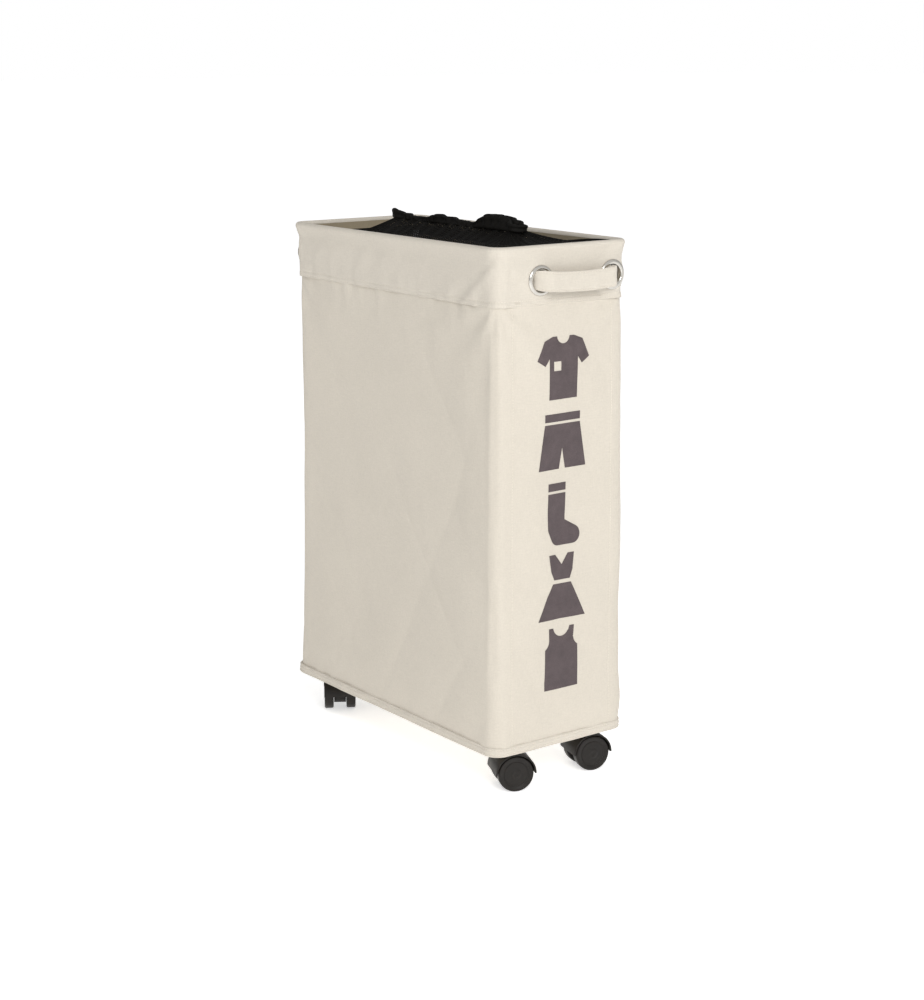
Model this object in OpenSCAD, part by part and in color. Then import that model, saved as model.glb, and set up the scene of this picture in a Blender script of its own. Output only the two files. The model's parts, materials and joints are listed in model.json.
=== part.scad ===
// Slim rolling laundry bin: a canvas bag on a steel frame, with a rigid base, a net top
// with an elasticated mouth, two strap handles in metal eyelets and four twin-wheel castors.
// Millimetres. +Z up, X along the long side, origin on the floor under the middle of the bin.

/* [Bag] */
// Length of the rim along the long side
rim_length = 400; // [330:5:500]
// Width of the rim across the short side
rim_width = 185; // [170:5:240]
// Height of the rim above the floor
rim_height = 600; // [500:10:720]
// Outside radius of the rim's corners
corner_r = 18; // [17:1:24]
// Thickness of one layer of canvas
cloth_t = 1.6; // [1:0.1:1.8]
// How far the walls stand in from the rim
wall_inset = 4; // [3:0.5:5]
// Depth of the turned-over cuff
cuff_depth = 64; // [56:2:90]
// Height of the hem welt round the bottom edge
hem_h = 10; // [6:1:14]
// How far the hem welt stands out from the wall
hem_proud = 3.5; // [1:0.5:4]

/* [Frame] */
// Radius of the steel wire in the rim
hoop_r = 3; // [2:0.25:3.5]
// Outside radius of the steel corner posts
post_r = 3.5; // [3:0.25:4]
// How far the posts stand in from the bag's corners
post_inset = 3; // [0:0.5:4]
// Wall of the post tubes
post_wall = 0.8; // [0.6:0.1:1.2]
// Thickness of the base board
board_t = 5; // [3:0.5:8]
// Height of the sockets on the corner feet
socket_h = 28; // [24:1:36]
// Wall of the sockets on the corner feet
socket_wall = 2; // [1.6:0.1:2.4]
// Radius of a foot screw's head
screw_head_r = 3.2; // [2.5:0.1:3.6]

/* [Castors] */
// Radius of the castor wheels
wheel_r = 20; // [18:0.5:21]
// Width of one wheel
wheel_w = 11; // [9:0.5:12]
// Gap between the two wheels of a castor
wheel_gap = 15.8; // [14:0.2:18]
// Height of the bag's bottom edge above the floor
castor_h = 50; // [50:1:60]
// Distance from the swivel axis to the axle
trail = 12; // [8:0.5:14]
// Radius of the castor stems
stem_r = 4; // [3:0.25:4.5]
// Radius of the wheel axles
axle_r = 2.5; // [2:0.25:3]
// Wall of the castor hoods
hood_t = 1.8; // [1.2:0.1:2]
// Distance from the rim's end to the swivel axes
pivot_in_x = 38; // [36:1:60]
// Distance from the rim's side to the swivel axes
pivot_in_y = 39; // [38:1:50]
// Direction in which the front right castor trails
trail_front_right = 67; // [0:1:359]
// Direction in which the back right castor trails
trail_back_right = 75; // [0:1:359]
// Direction in which the front left castor trails
trail_front_left = 148; // [0:1:359]
// Direction in which the back left castor trails
trail_back_left = 250; // [0:1:359]

/* [Handles] */
// Radius of the hole in an eyelet
eyelet_hole_r = 11; // [9:0.5:12]
// Width of an eyelet's flange
eyelet_flange = 5.5; // [4:0.5:7]
// Distance between the two eyelets of a handle
eyelet_pitch = 98; // [80:1:100]
// Depth of the eyelets below the rim
eyelet_drop = 37; // [30:1:38]
// Distance of a handle's middle from the middle of its end
handle_shift = 16; // [0:1:16]
// Width of the handle strap
strap_w = 22; // [18:1:26]
// Thickness of the folded handle strap
strap_t = 3.6; // [2.5:0.1:4]
// How far a handle stands out from the rim
handle_reach = 14; // [12:1:24]

/* [Net top] */
// Length of the mouth in the net
mouth_length = 214; // [150:2:240]
// Gap between the lips of the closed mouth
mouth_gap = 8; // [6:0.5:20]
// Thickness of the gathered lips
lip_t = 8; // [6:0.5:12]
// Height of the gathered lips
lip_h = 13; // [10:1:20]
// Distance from the middle of the bin to the middle of the mouth
mouth_shift = 7; // [0:1:10]
// Depth of the net's edge below the rim
net_drop = 14; // [12:1:18]
// Rise of the net from its edge to the mouth
net_rise = 20; // [10:1:30]
// Radius of the elastic in the lips
elastic_r = 1.2; // [0.8:0.1:1.5]

/* [Print] */
// Distance from the cuff down to the column of printed garments
print_below_cuff = 31.5; // [20:0.5:60]
// Distance from the hem up to the column of printed garments
print_above_hem = 51.5; // [30:0.5:80]
// Gap between two garments, as a share of a garment's size
print_gap = 0.115; // [0.05:0.005:0.3]

/* [Hidden] */

CANVAS = [0.87, 0.84, 0.78];
CUFF_CANVAS = [0.9, 0.87, 0.81];
NET = [0.09, 0.09, 0.1];
INK = [0.32, 0.29, 0.3];
STEEL = [0.75, 0.75, 0.76];
BLACK_PLASTIC = [0.07, 0.07, 0.08];
BOARD = [0.45, 0.35, 0.26];

// Smoothness of round shapes, and of the lofted net
$fn = 64;
loft_steps = 8;

// Fits and clearances
running_fit = 0.05;
press_fit = 0.05;
loose_fit = 0.3;
eps = 0.05;

// Which corner a part is at: [side along X, side along Y]
FRONT_LEFT = [-1, -1];
FRONT_RIGHT = [1, -1];
BACK_LEFT = [-1, 1];
BACK_RIGHT = [1, 1];
CORNERS = [FRONT_LEFT, FRONT_RIGHT, BACK_LEFT, BACK_RIGHT];
LEFT = -1;
RIGHT = 1;

// Walls of the bag, as distances from the middle
straight_x = rim_length / 2 - corner_r;
straight_y = rim_width / 2 - corner_r;
wall_x = rim_length / 2 - wall_inset;
wall_y = rim_width / 2 - wall_inset;
wall_r = corner_r - wall_inset;
inner_r = wall_r - cloth_t;
fold_t = cloth_t / 2;
wall_z0 = castor_h + fold_t;

// Rim: the hoop lies in the tube at the top of the cuff
tube_r = hoop_r + 1;
hoop_z = rim_height - tube_r;
wall_z1 = hoop_z - tube_r;
cuff_z0 = rim_height - cuff_depth;
lining_in = wall_inset + 2 * cloth_t;

// Floor, base board, feet and posts
board_z = wall_z0 + fold_t + loose_fit;
foot_z = board_z + board_t;
foot_plate = 3;
socket_r = post_r + socket_wall;
post_angle = 75;
post_out = inner_r - loose_fit - socket_r - post_inset;
post_x = straight_x + post_out * cos(post_angle);
post_y = straight_y + post_out * sin(post_angle);
post_z0 = foot_z + foot_plate;
cap_t = 3;
post_z1 = rim_height - net_drop - 1 - cap_t;
sleeve_r = post_r + loose_fit;
sleeve_t = 1.4;
sleeve_z0 = foot_z + socket_h + 3;
sleeve_z1 = cuff_z0 - 1;
// Screw places on a foot, as distances from the swivel axis across the line to the post
foot_screw_out = 20;

// Castors
pivot_x = rim_length / 2 - pivot_in_x;
pivot_y = rim_width / 2 - pivot_in_y;
pivot_to_post = norm([post_x - pivot_x, post_y - pivot_y]);
post_direction = atan2(post_y - pivot_y, post_x - pivot_x);
hood_gap = 1.2;
hood_in_r = wheel_r + hood_gap;
hood_r = hood_in_r + hood_t;
web_w = wheel_gap - 1.4;
web_r = 0.66 * wheel_r;
castor_w = wheel_gap + 2 * wheel_w;
hood_w = castor_w + 1.2;
spigot_r = stem_r + 3;
spigot_z = castor_h + 0.3;
spigot_hole_r = spigot_r + 0.2;
collar_t = 2.8;
collar_r = stem_r + 2.6;
housing_top = spigot_z - collar_t - loose_fit;
boss_r = web_w / 2;
stem_z0 = wheel_r + axle_r + 3.5;
stem_z1 = foot_z + socket_h - 5;
ring_h = 4;
axle_depth = wheel_w - 2.8;

// Eyelets and handles
eyelet_r = eyelet_hole_r + eyelet_flange;
eyelet_z = rim_height - eyelet_drop;
eyelet_t = 1.6;
barrel_r = eyelet_hole_r + 1;
cloth_hole_r = barrel_r + 0.3;
washer_t = 1.4;
washer_x = rim_length / 2 - lining_in - washer_t;
washer_r = eyelet_r - 1.5;
stop_t = 8;
stop_w = 12;
stop_h = 2 * barrel_r + 8;
strap_gap = 3;
strap_end_w = min(strap_w, 2 * eyelet_hole_r) - 3;
bend_r = 9;

// Net top
net_t = 1.2;
net_z0 = rim_height - net_drop;
mouth_z = net_z0 + net_rise;
lip_z = mouth_z + net_t;
lip_out = mouth_gap / 2 + lip_t;
lip_mid = mouth_gap / 2 + lip_t / 2;
mouth_half = mouth_length / 2 - mouth_gap / 2;
collar_out = lip_out + 2;
elastic_z = lip_z + lip_h / 2;

// Print
print_t = 0.3;
garments = 5;
print_z0 = castor_h + hem_h + print_above_hem;
print_z1 = cuff_z0 - print_below_cuff;
garment_h = (print_z1 - print_z0) / (garments + (garments - 1) * print_gap);

// ---- shared shapes ----

// Sweeps a profile round a rounded rectangle. In the profile, x is the distance outwards
// from the rectangle and y is the height.
module sweep_round(length, width, radius) {
    for (turn = [0, 180]) rotate(turn) {
        translate([-(length / 2 - radius), width / 2, 0])
            rotate([90, 0, 90])
                linear_extrude(length - 2 * radius) children();
        translate([length / 2, width / 2 - radius, 0])
            rotate([90, 0, 0])
                linear_extrude(width - 2 * radius) children();
        translate([length / 2 - radius, width / 2 - radius, 0])
            rotate_extrude(angle = 90) translate([radius, 0]) children();
        translate([-(length / 2 - radius), width / 2 - radius, 0])
            rotate(90) rotate_extrude(angle = 90) translate([radius, 0]) children();
    }
}

// Flat outline of a rectangle with round corners, centred
module round_rect(length, width, radius) {
    square([length - 2 * radius, width], center = true);
    square([length, width - 2 * radius], center = true);
    for (x = [-1, 1], y = [-1, 1])
        translate([x * (length / 2 - radius), y * (width / 2 - radius)]) circle(radius);
}

// Slot outline with round ends, along X
module slot_2d(half_length, half_width) {
    square([2 * half_length, 2 * half_width], center = true);
    for (side = [-1, 1]) translate([side * half_length, 0]) circle(half_width);
}

// Puts a part made for the corner at +X +Y at any corner
module at_corner(corner) {
    scale_x = corner[0];
    scale_y = corner[1];
    mirror([scale_x < 0 ? 1 : 0, 0, 0])
        mirror([0, scale_y < 0 ? 1 : 0, 0]) children();
}

// Puts a part made for the end at +X at either end
module at_end(side) {
    rotate(side == RIGHT ? 0 : 180) children();
}

// Places children at both eyelets of the end at +X, with their axis along X
module at_eyelets() {
    for (y = [-1, 1])
        translate([0, handle_shift + y * eyelet_pitch / 2, eyelet_z])
            rotate([0, 90, 0]) children();
}

// Holes that the eyelets need in every layer of cloth, at both ends
module eyelet_holes() {
    for (side = [LEFT, RIGHT]) at_end(side) at_eyelets() {
        cylinder(h = rim_length, r = cloth_hole_r);
        cylinder(h = rim_length / 2 - lining_in, r = eyelet_r + loose_fit);
    }
}

// ---- steel frame ----

module top_hoop() {
    color(STEEL)
        sweep_round(rim_length, rim_width, corner_r)
            translate([-tube_r, hoop_z]) circle(hoop_r);
}

module post(corner) {
    color(STEEL) at_corner(corner)
        translate([post_x, post_y, post_z0])
            difference() {
                cylinder(h = post_z1 - post_z0, r = post_r);
                translate([0, 0, -1]) cylinder(h = post_z1 - post_z0 + 2, r = post_r - post_wall);
            }
}

module post_caps() {
    plug_h = 10;
    color(BLACK_PLASTIC)
        for (corner = CORNERS) at_corner(corner)
            translate([post_x, post_y, post_z1]) {
                cylinder(h = cap_t, r = post_r);
                translate([0, 0, -plug_h])
                    cylinder(h = plug_h + eps, r = post_r - post_wall - 0.1);
            }
}

// ---- base ----

module base_board() {
    edge = cloth_t + 0.5;
    color(BOARD)
        translate([0, 0, board_z]) difference() {
            linear_extrude(board_t)
                round_rect(2 * (wall_x - edge), 2 * (wall_y - edge), wall_r - edge);
            for (corner = CORNERS)
                translate([corner[0] * pivot_x, corner[1] * pivot_y, -1])
                    cylinder(h = board_t + 2, r = spigot_hole_r);
        }
}

module at_foot(corner) {
    at_corner(corner) translate([pivot_x, pivot_y, 0]) rotate(post_direction) children();
}

module foot(corner) {
    plate_r = 7;
    boss_out = stem_r + 6;
    rib_t = 4;
    color(BLACK_PLASTIC) at_foot(corner) difference() {
        union() {
            translate([0, 0, foot_z]) {
                linear_extrude(foot_plate) {
                    slot_2d(eps, boss_out + 2);
                    rotate(90) slot_2d(foot_screw_out, plate_r);
                    translate([0, -socket_r]) square([pivot_to_post, 2 * socket_r]);
                    translate([pivot_to_post, 0]) circle(socket_r);
                }
                cylinder(h = socket_h, r = boss_out);
                translate([pivot_to_post, 0, 0]) cylinder(h = socket_h, r = socket_r);
                translate([0, -rib_t / 2, 0]) cube([pivot_to_post, rib_t, socket_h * 0.7]);
            }
            translate([0, 0, spigot_z]) cylinder(h = foot_z - spigot_z + eps, r = spigot_r);
        }
        translate([0, 0, spigot_z - 1])
            cylinder(h = stem_z1 + 2 - spigot_z, r = stem_r + 0.2);
        translate([pivot_to_post, 0, foot_z + foot_plate])
            cylinder(h = socket_h, r = post_r - press_fit);
        for (side = [-1, 1]) translate([0, side * foot_screw_out, foot_z - 1])
            cylinder(h = foot_plate + 2, r = 1.7);
    }
}

module foot_screws() {
    head_h = 2.2;
    color(STEEL)
        for (corner = CORNERS, side = [-1, 1]) at_foot(corner)
            translate([0, side * foot_screw_out, foot_z + foot_plate]) {
                difference() {
                    cylinder(h = head_h, r1 = screw_head_r, r2 = screw_head_r * 0.7);
                    translate([0, 0, head_h]) cube([screw_head_r, 0.8, 2], center = true);
                }
                translate([0, 0, -foot_plate]) cylinder(h = foot_plate + eps, r = 1.5);
            }
}

// ---- canvas ----

// One flat wall, standing on the X axis with its outer face at y = 0
module wall(length) {
    translate([-length / 2, 0, wall_z0]) cube([length, cloth_t, wall_z1 - wall_z0]);
}

module front_panel() {
    color(CANVAS) translate([0, -wall_y, 0]) wall(2 * straight_x);
}

module back_panel() {
    color(CANVAS) rotate(180) translate([0, -wall_y, 0]) wall(2 * straight_x);
}

module end_panel(side) {
    color(CANVAS) difference() {
        at_end(side) rotate(90) translate([0, -wall_x, 0]) wall(2 * straight_y);
        eyelet_holes();
    }
}

// Corner of the bag, with the tunnel that holds a post
module sleeve(corner) {
    color(CANVAS) difference() {
        at_corner(corner) translate([straight_x, straight_y, 0]) {
            translate([0, 0, wall_z0]) linear_extrude(wall_z1 - wall_z0) difference() {
                intersection() {
                    circle(wall_r);
                    square(wall_r);
                }
                circle(inner_r);
            }
            translate([0, 0, sleeve_z0]) linear_extrude(sleeve_z1 - sleeve_z0)
                rotate(post_angle) difference() {
                    union() {
                        translate([post_out, 0]) circle(sleeve_r + sleeve_t);
                        translate([post_out, -2]) square([inner_r - post_out + fold_t, 4]);
                    }
                    translate([post_out, 0]) circle(sleeve_r);
                }
        }
        eyelet_holes();
    }
}

module floor_cloth() {
    edge = cloth_t;
    color(CANVAS)
        translate([0, 0, wall_z0]) difference() {
            linear_extrude(fold_t)
                round_rect(2 * (wall_x - edge), 2 * (wall_y - edge), wall_r - edge);
            for (corner = CORNERS)
                translate([corner[0] * pivot_x, corner[1] * pivot_y, -1])
                    cylinder(h = 4, r = spigot_hole_r);
        }
}

module hem_welt() {
    color(CUFF_CANVAS)
        sweep_round(rim_length, rim_width, corner_r) {
            translate([-wall_inset, castor_h])
                square([hem_proud, hem_h]);
            translate([-wall_inset - 3, castor_h]) square([3 + eps, fold_t]);
        }
}

// Turned-over cuff: an outer band, a tube for the hoop and a lining behind the wall
module cuff() {
    seam_h = 4;
    color(CUFF_CANVAS) difference() {
        sweep_round(rim_length, rim_width, corner_r) difference() {
            union() {
                translate([-tube_r, hoop_z]) circle(tube_r);
                translate([-cloth_t, cuff_z0]) square([cloth_t, hoop_z - cuff_z0]);
                translate([-wall_inset, cuff_z0]) square([wall_inset, seam_h]);
                translate([-lining_in, cuff_z0 + seam_h])
                    square([cloth_t, hoop_z - cuff_z0 - seam_h]);
            }
            translate([-tube_r, hoop_z]) circle(hoop_r + 0.15);
        }
        eyelet_holes();
    }
}

// ---- eyelets and handles ----

// Flange and barrel of one eyelet; the flange lies on the cuff's outer face
module eyelets(side) {
    edge = eyelet_t / 2;
    color(STEEL) at_end(side) translate([rim_length / 2, 0, 0]) at_eyelets() {
        rotate_extrude() {
            translate([barrel_r, 0]) square([eyelet_r - edge - barrel_r, eyelet_t]);
            translate([eyelet_r - edge, edge]) circle(edge);
            translate([eyelet_hole_r, -lining_in - washer_t])
                square([barrel_r - eyelet_hole_r, lining_in + washer_t + edge]);
            translate([eyelet_hole_r + edge, edge]) circle(edge);
            translate([eyelet_hole_r + edge, edge]) square([barrel_r - eyelet_hole_r, edge]);
        }
    }
}

module eyelet_washers() {
    color(STEEL)
        for (side = [LEFT, RIGHT]) at_end(side) translate([washer_x, 0, 0]) at_eyelets()
            difference() {
                cylinder(h = washer_t, r = washer_r);
                translate([0, 0, -1]) cylinder(h = washer_t + 2, r = barrel_r + running_fit);
            }
}

// Ends of the strap: through the eyelets, and folded inside into stops too big to pull out
module strap_ends(side) {
    color(CUFF_CANVAS) at_end(side)
        for (y = [-1, 1])
            translate([washer_x, handle_shift + y * eyelet_pitch / 2, eyelet_z]) {
                translate([-stop_t, -stop_w / 2, -stop_h / 2]) cube([stop_t, stop_w, stop_h]);
                translate([-eps, -strap_t / 2, -strap_end_w / 2])
                    cube([lining_in + washer_t + strap_gap - loose_fit, strap_t, strap_end_w]);
            }
}

// Outer bow of the strap, which lifts about its upper edge
module handle(side) {
    depth = 4 * bend_r;
    color(CUFF_CANVAS) at_end(side)
        translate([rim_length / 2, handle_shift, eyelet_z - strap_w / 2])
            linear_extrude(strap_w) difference() {
                translate([handle_reach - depth / 2, 0])
                    round_rect(depth, eyelet_pitch + strap_t, bend_r);
                translate([handle_reach - depth / 2 - strap_t, 0])
                    round_rect(depth, eyelet_pitch - strap_t, bend_r - strap_t);
                translate([strap_gap - 2 * depth, -eyelet_pitch])
                    square([2 * depth, 2 * eyelet_pitch]);
            }
}

// ---- net top ----

// Points of a rounded rectangle's outline at height z
function loop(length, width, radius, z, shift) = [
    for (quarter = [0:3], step = [0:loft_steps])
        let (turn = 90 * (quarter + step / loft_steps),
             side_x = (quarter == 0 || quarter == 3) ? 1 : -1,
             side_y = quarter < 2 ? 1 : -1)
        [shift + side_x * (length / 2 - radius) + radius * cos(turn),
         side_y * (width / 2 - radius) + radius * sin(turn), z]];

module net_cover() {
    edge_l = rim_length - 2 * lining_in;
    edge_w = rim_width - 2 * lining_in;
    edge_r = corner_r - lining_in;
    mid_l = 2 * (mouth_half + collar_out);
    slit_l = 2 * (mouth_half + mouth_gap / 2);
    soft = 0.5;
    // Loops of points, in order round the net's thickness: underneath, then on top
    loops = [
        loop(edge_l, edge_w, edge_r, net_z0, 0),
        loop(mid_l, 2 * collar_out, collar_out - soft, mouth_z, mouth_shift),
        loop(slit_l, mouth_gap, mouth_gap / 2 - soft, mouth_z, mouth_shift),
        loop(slit_l, mouth_gap, mouth_gap / 2 - soft, lip_z, mouth_shift),
        loop(mid_l, 2 * collar_out, collar_out - soft, lip_z, mouth_shift),
        loop(edge_l, edge_w, edge_r, net_z0 + net_t, 0)];
    count = len(loops[0]);
    rings = len(loops);
    color(NET) polyhedron(
        points = [for (ring = loops, p = ring) p],
        faces = [for (ring = [0:rings - 1], k = [0:count - 1], half = [0, 1])
            let (a = ring * count + k,
                 b = ring * count + (k + 1) % count,
                 c = ((ring + 1) % rings) * count + (k + 1) % count,
                 d = ((ring + 1) % rings) * count + k)
            half == 0 ? [a, b, c] : [a, c, d]]);
}

// Closed loop of round cord in the lips
module elastic_path(radius) {
    translate([mouth_shift, 0, elastic_z]) for (turn = [0, 180]) rotate(turn) {
        translate([-mouth_half, lip_mid, 0]) rotate([0, 90, 0])
            cylinder(h = 2 * mouth_half, r = radius);
        translate([mouth_half, 0, 0]) rotate(-90)
            rotate_extrude(angle = 180) translate([lip_mid, 0]) circle(radius);
    }
}

module mouth_lips() {
    color(NET) difference() {
        translate([mouth_shift, 0, lip_z]) linear_extrude(lip_h) difference() {
            slot_2d(mouth_half, lip_out);
            slot_2d(mouth_half, mouth_gap / 2);
        }
        elastic_path(elastic_r + 0.2);
    }
}

module mouth_elastic() {
    color(NET) elastic_path(elastic_r);
}

// ---- printed garments, each drawn one unit high about its middle ----

module tee() {
    neck_r = 0.12;
    difference() {
        polygon([[-0.2, 0.46], [-0.36, 0.4], [-0.5, 0.12], [-0.35, 0.03], [-0.27, 0.14],
                 [-0.27, -0.48], [0.27, -0.48], [0.27, 0.14], [0.35, 0.03], [0.5, 0.12],
                 [0.36, 0.4], [0.2, 0.46]]);
        translate([0, 0.47]) circle(neck_r);
        translate([-0.12, 0.02]) square([0.02 + neck_r, 0.02 + neck_r], center = true);
    }
}

module shorts() {
    polygon([[-0.34, 0.26], [0.34, 0.26], [0.46, -0.42], [0.06, -0.42], [0, -0.1],
             [-0.06, -0.42], [-0.46, -0.42]]);
    translate([-0.34, 0.3]) square([0.68, 0.12]);
}

module dress() {
    waist_h = 0.06;
    difference() {
        polygon([[-0.24, 0.5], [-0.12, 0.5], [0, 0.34], [0.12, 0.5], [0.24, 0.5],
                 [0.2, 0.24], [0.14, 0.1], [0.2, -0.02], [0.44, -0.5], [-0.44, -0.5],
                 [-0.2, -0.02], [-0.14, 0.1], [-0.2, 0.24]]);
        translate([0, 0.08]) square([1, waist_h], center = true);
    }
}

module sock() {
    translate([-0.26, 0.36]) square([0.34, 0.12]);
    translate([-0.26, -0.2]) square([0.34, 0.52]);
    hull() {
        translate([-0.09, -0.2]) circle(0.17);
        translate([0.22, -0.34]) circle(0.14);
        translate([-0.06, -0.34]) circle(0.14);
    }
}

module vest() {
    difference() {
        translate([-0.32, -0.48]) square([0.64, 0.96]);
        translate([0, 0.5]) circle(0.16);
        for (side = [-1, 1]) {
            translate([side * 0.4, 0.3]) circle(0.16);
            translate([side * 0.4, 0.46]) square(0.32, center = true);
        }
    }
}

module garment_print() {
    color(INK)
        for (k = [0:garments - 1])
            translate([wall_x, 0, print_z1 - (0.5 + k * (1 + print_gap)) * garment_h])
                rotate([90, 0, 90]) linear_extrude(print_t) scale(garment_h) {
                    if (k == 0) tee();
                    if (k == 1) shorts();
                    if (k == 2) sock();
                    if (k == 3) dress();
                    if (k == 4) vest();
                }
}

// ---- castors: made with the swivel axis at the origin and the axle at +X ----

module at_castor(corner, direction) {
    translate([corner[0] * pivot_x, corner[1] * pivot_y, 0]) rotate(direction) children();
}

// Swivel pin: the grip ring holds it in the foot, and the housing turns on it
module stem(corner) {
    tip_h = 3;
    color(STEEL) at_castor(corner, 0) {
        translate([0, 0, stem_z0]) cylinder(h = stem_z1 - tip_h - stem_z0, r = stem_r);
        translate([0, 0, stem_z1 - tip_h]) cylinder(h = tip_h, r1 = stem_r, r2 = stem_r - 1.5);
        translate([0, 0, spigot_z - collar_t]) cylinder(h = collar_t, r = collar_r);
        translate([0, 0, stem_z1 - tip_h - 2 * ring_h])
            cylinder(h = ring_h, r = stem_r + 0.2 + press_fit);
    }
}

// A disc about the axle
module axle_disc(radius, width) {
    translate([trail, 0, wheel_r]) rotate([90, 0, 0])
        cylinder(h = width, r = radius, center = true);
}

// Central web between the wheels, hood over both, and the boss for the stem
module housing(corner, direction) {
    top_half = 4 * hood_r;
    color(BLACK_PLASTIC) at_castor(corner, direction) difference() {
        union() {
            axle_disc(web_r, web_w);
            intersection() {
                union() {
                    axle_disc(hood_in_r + eps, web_w);
                    difference() {
                        axle_disc(hood_r, hood_w);
                        axle_disc(hood_in_r, hood_w + 2);
                    }
                }
                translate([-top_half / 2, -top_half / 2, wheel_r])
                    cube([top_half, top_half, top_half]);
            }
            translate([0, 0, wheel_r]) cylinder(h = housing_top - wheel_r, r = boss_r);
        }
        translate([0, 0, stem_z0 - 1]) cylinder(h = housing_top, r = stem_r + running_fit);
        axle_disc(axle_r - press_fit, web_w + 2);
    }
}

module axle(corner, direction) {
    color(STEEL) at_castor(corner, direction)
        axle_disc(axle_r, wheel_gap + 2 * axle_depth - 1);
}

// One wheel, with its blind bore towards the web; side is its side of the web
module wheel(corner, direction, side) {
    edge = 1.2;
    groove_r = 0.68 * wheel_r;
    groove = 0.6;
    hub_r = 5;
    color(BLACK_PLASTIC) at_castor(corner, direction)
        translate([trail, side * wheel_gap / 2, wheel_r]) rotate([-side * 90, 0, 0])
            difference() {
                rotate_extrude() polygon([
                    [0, 0], [wheel_r - edge, 0], [wheel_r, edge], [wheel_r, wheel_w - edge],
                    [wheel_r - edge, wheel_w], [groove_r + 1, wheel_w],
                    [groove_r + 1, wheel_w - groove], [groove_r, wheel_w - groove],
                    [groove_r, wheel_w], [hub_r, wheel_w], [hub_r - 1, wheel_w + 0.4],
                    [0, wheel_w + 0.4]]);
                translate([0, 0, -1]) cylinder(h = axle_depth + 1, r = axle_r + running_fit);
            }
}

top_hoop();
post(FRONT_LEFT);  // front_left_post
post(FRONT_RIGHT);  // front_right_post
post(BACK_LEFT);  // back_left_post
post(BACK_RIGHT);  // back_right_post
post_caps();
base_board();
foot(FRONT_LEFT);  // front_left_foot
foot(FRONT_RIGHT);  // front_right_foot
foot(BACK_LEFT);  // back_left_foot
foot(BACK_RIGHT);  // back_right_foot
foot_screws();
front_panel();
back_panel();
end_panel(LEFT);  // left_panel
end_panel(RIGHT);  // right_panel
sleeve(FRONT_LEFT);  // front_left_sleeve
sleeve(FRONT_RIGHT);  // front_right_sleeve
sleeve(BACK_LEFT);  // back_left_sleeve
sleeve(BACK_RIGHT);  // back_right_sleeve
floor_cloth();
hem_welt();
cuff();
eyelets(LEFT);  // left_eyelets
eyelets(RIGHT);  // right_eyelets
eyelet_washers();
strap_ends(LEFT);  // left_strap_ends
strap_ends(RIGHT);  // right_strap_ends
handle(LEFT);  // left_handle
handle(RIGHT);  // right_handle
net_cover();
mouth_lips();
mouth_elastic();
garment_print();
stem(FRONT_LEFT);  // front_left_stem
stem(FRONT_RIGHT);  // front_right_stem
stem(BACK_LEFT);  // back_left_stem
stem(BACK_RIGHT);  // back_right_stem
housing(FRONT_LEFT, trail_front_left);  // front_left_housing
housing(FRONT_RIGHT, trail_front_right);  // front_right_housing
housing(BACK_LEFT, trail_back_left);  // back_left_housing
housing(BACK_RIGHT, trail_back_right);  // back_right_housing
axle(FRONT_LEFT, trail_front_left);  // front_left_axle
axle(FRONT_RIGHT, trail_front_right);  // front_right_axle
axle(BACK_LEFT, trail_back_left);  // back_left_axle
axle(BACK_RIGHT, trail_back_right);  // back_right_axle
wheel(FRONT_LEFT, trail_front_left, 1);  // front_left_wheel_a
wheel(FRONT_LEFT, trail_front_left, -1);  // front_left_wheel_b
wheel(FRONT_RIGHT, trail_front_right, 1);  // front_right_wheel_a
wheel(FRONT_RIGHT, trail_front_right, -1);  // front_right_wheel_b
wheel(BACK_LEFT, trail_back_left, 1);  // back_left_wheel_a
wheel(BACK_LEFT, trail_back_left, -1);  // back_left_wheel_b
wheel(BACK_RIGHT, trail_back_right, 1);  // back_right_wheel_a
wheel(BACK_RIGHT, trail_back_right, -1);  // back_right_wheel_b
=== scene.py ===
"""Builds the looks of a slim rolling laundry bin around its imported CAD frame."""

import json
import math

import bmesh
import bpy
import numpy as np
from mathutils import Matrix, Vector


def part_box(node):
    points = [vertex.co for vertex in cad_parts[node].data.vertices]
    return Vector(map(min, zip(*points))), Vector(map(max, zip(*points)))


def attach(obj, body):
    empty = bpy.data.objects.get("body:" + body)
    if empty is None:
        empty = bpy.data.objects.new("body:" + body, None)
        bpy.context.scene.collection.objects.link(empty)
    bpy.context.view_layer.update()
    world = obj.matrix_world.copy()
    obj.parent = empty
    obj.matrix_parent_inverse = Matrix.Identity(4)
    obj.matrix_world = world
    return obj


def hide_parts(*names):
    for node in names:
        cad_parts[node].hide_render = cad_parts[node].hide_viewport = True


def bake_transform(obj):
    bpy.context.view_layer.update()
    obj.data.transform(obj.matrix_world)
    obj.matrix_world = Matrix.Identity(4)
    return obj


bl_info = {
    "name": "Rolling Laundry Bin",
    "version": (1, 0, 0),
    "blender": (4, 5, 0),
    "location": "View3D > Sidebar > Laundry Bin",
    "description": "Canvas bag on castors with a net top, strap handles and printed garments",
    "category": "Object",
}

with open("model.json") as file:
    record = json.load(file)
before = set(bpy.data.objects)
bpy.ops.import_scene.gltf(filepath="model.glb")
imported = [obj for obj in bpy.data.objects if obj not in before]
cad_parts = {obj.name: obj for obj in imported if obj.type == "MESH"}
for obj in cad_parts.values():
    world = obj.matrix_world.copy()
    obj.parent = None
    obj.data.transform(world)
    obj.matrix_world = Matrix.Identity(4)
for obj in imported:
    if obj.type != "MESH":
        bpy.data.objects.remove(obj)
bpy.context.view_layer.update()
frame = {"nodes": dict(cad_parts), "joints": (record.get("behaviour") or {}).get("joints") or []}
MM = 0.001
ENDS = ((-1, "left"), (1, "right"))
# Steps round the bag for sewn bands: spacing along the sides, and steps in each corner
BAND_STEPS = (2.4 * MM, 14)


# ---- sizes that the frame gives ----

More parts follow.
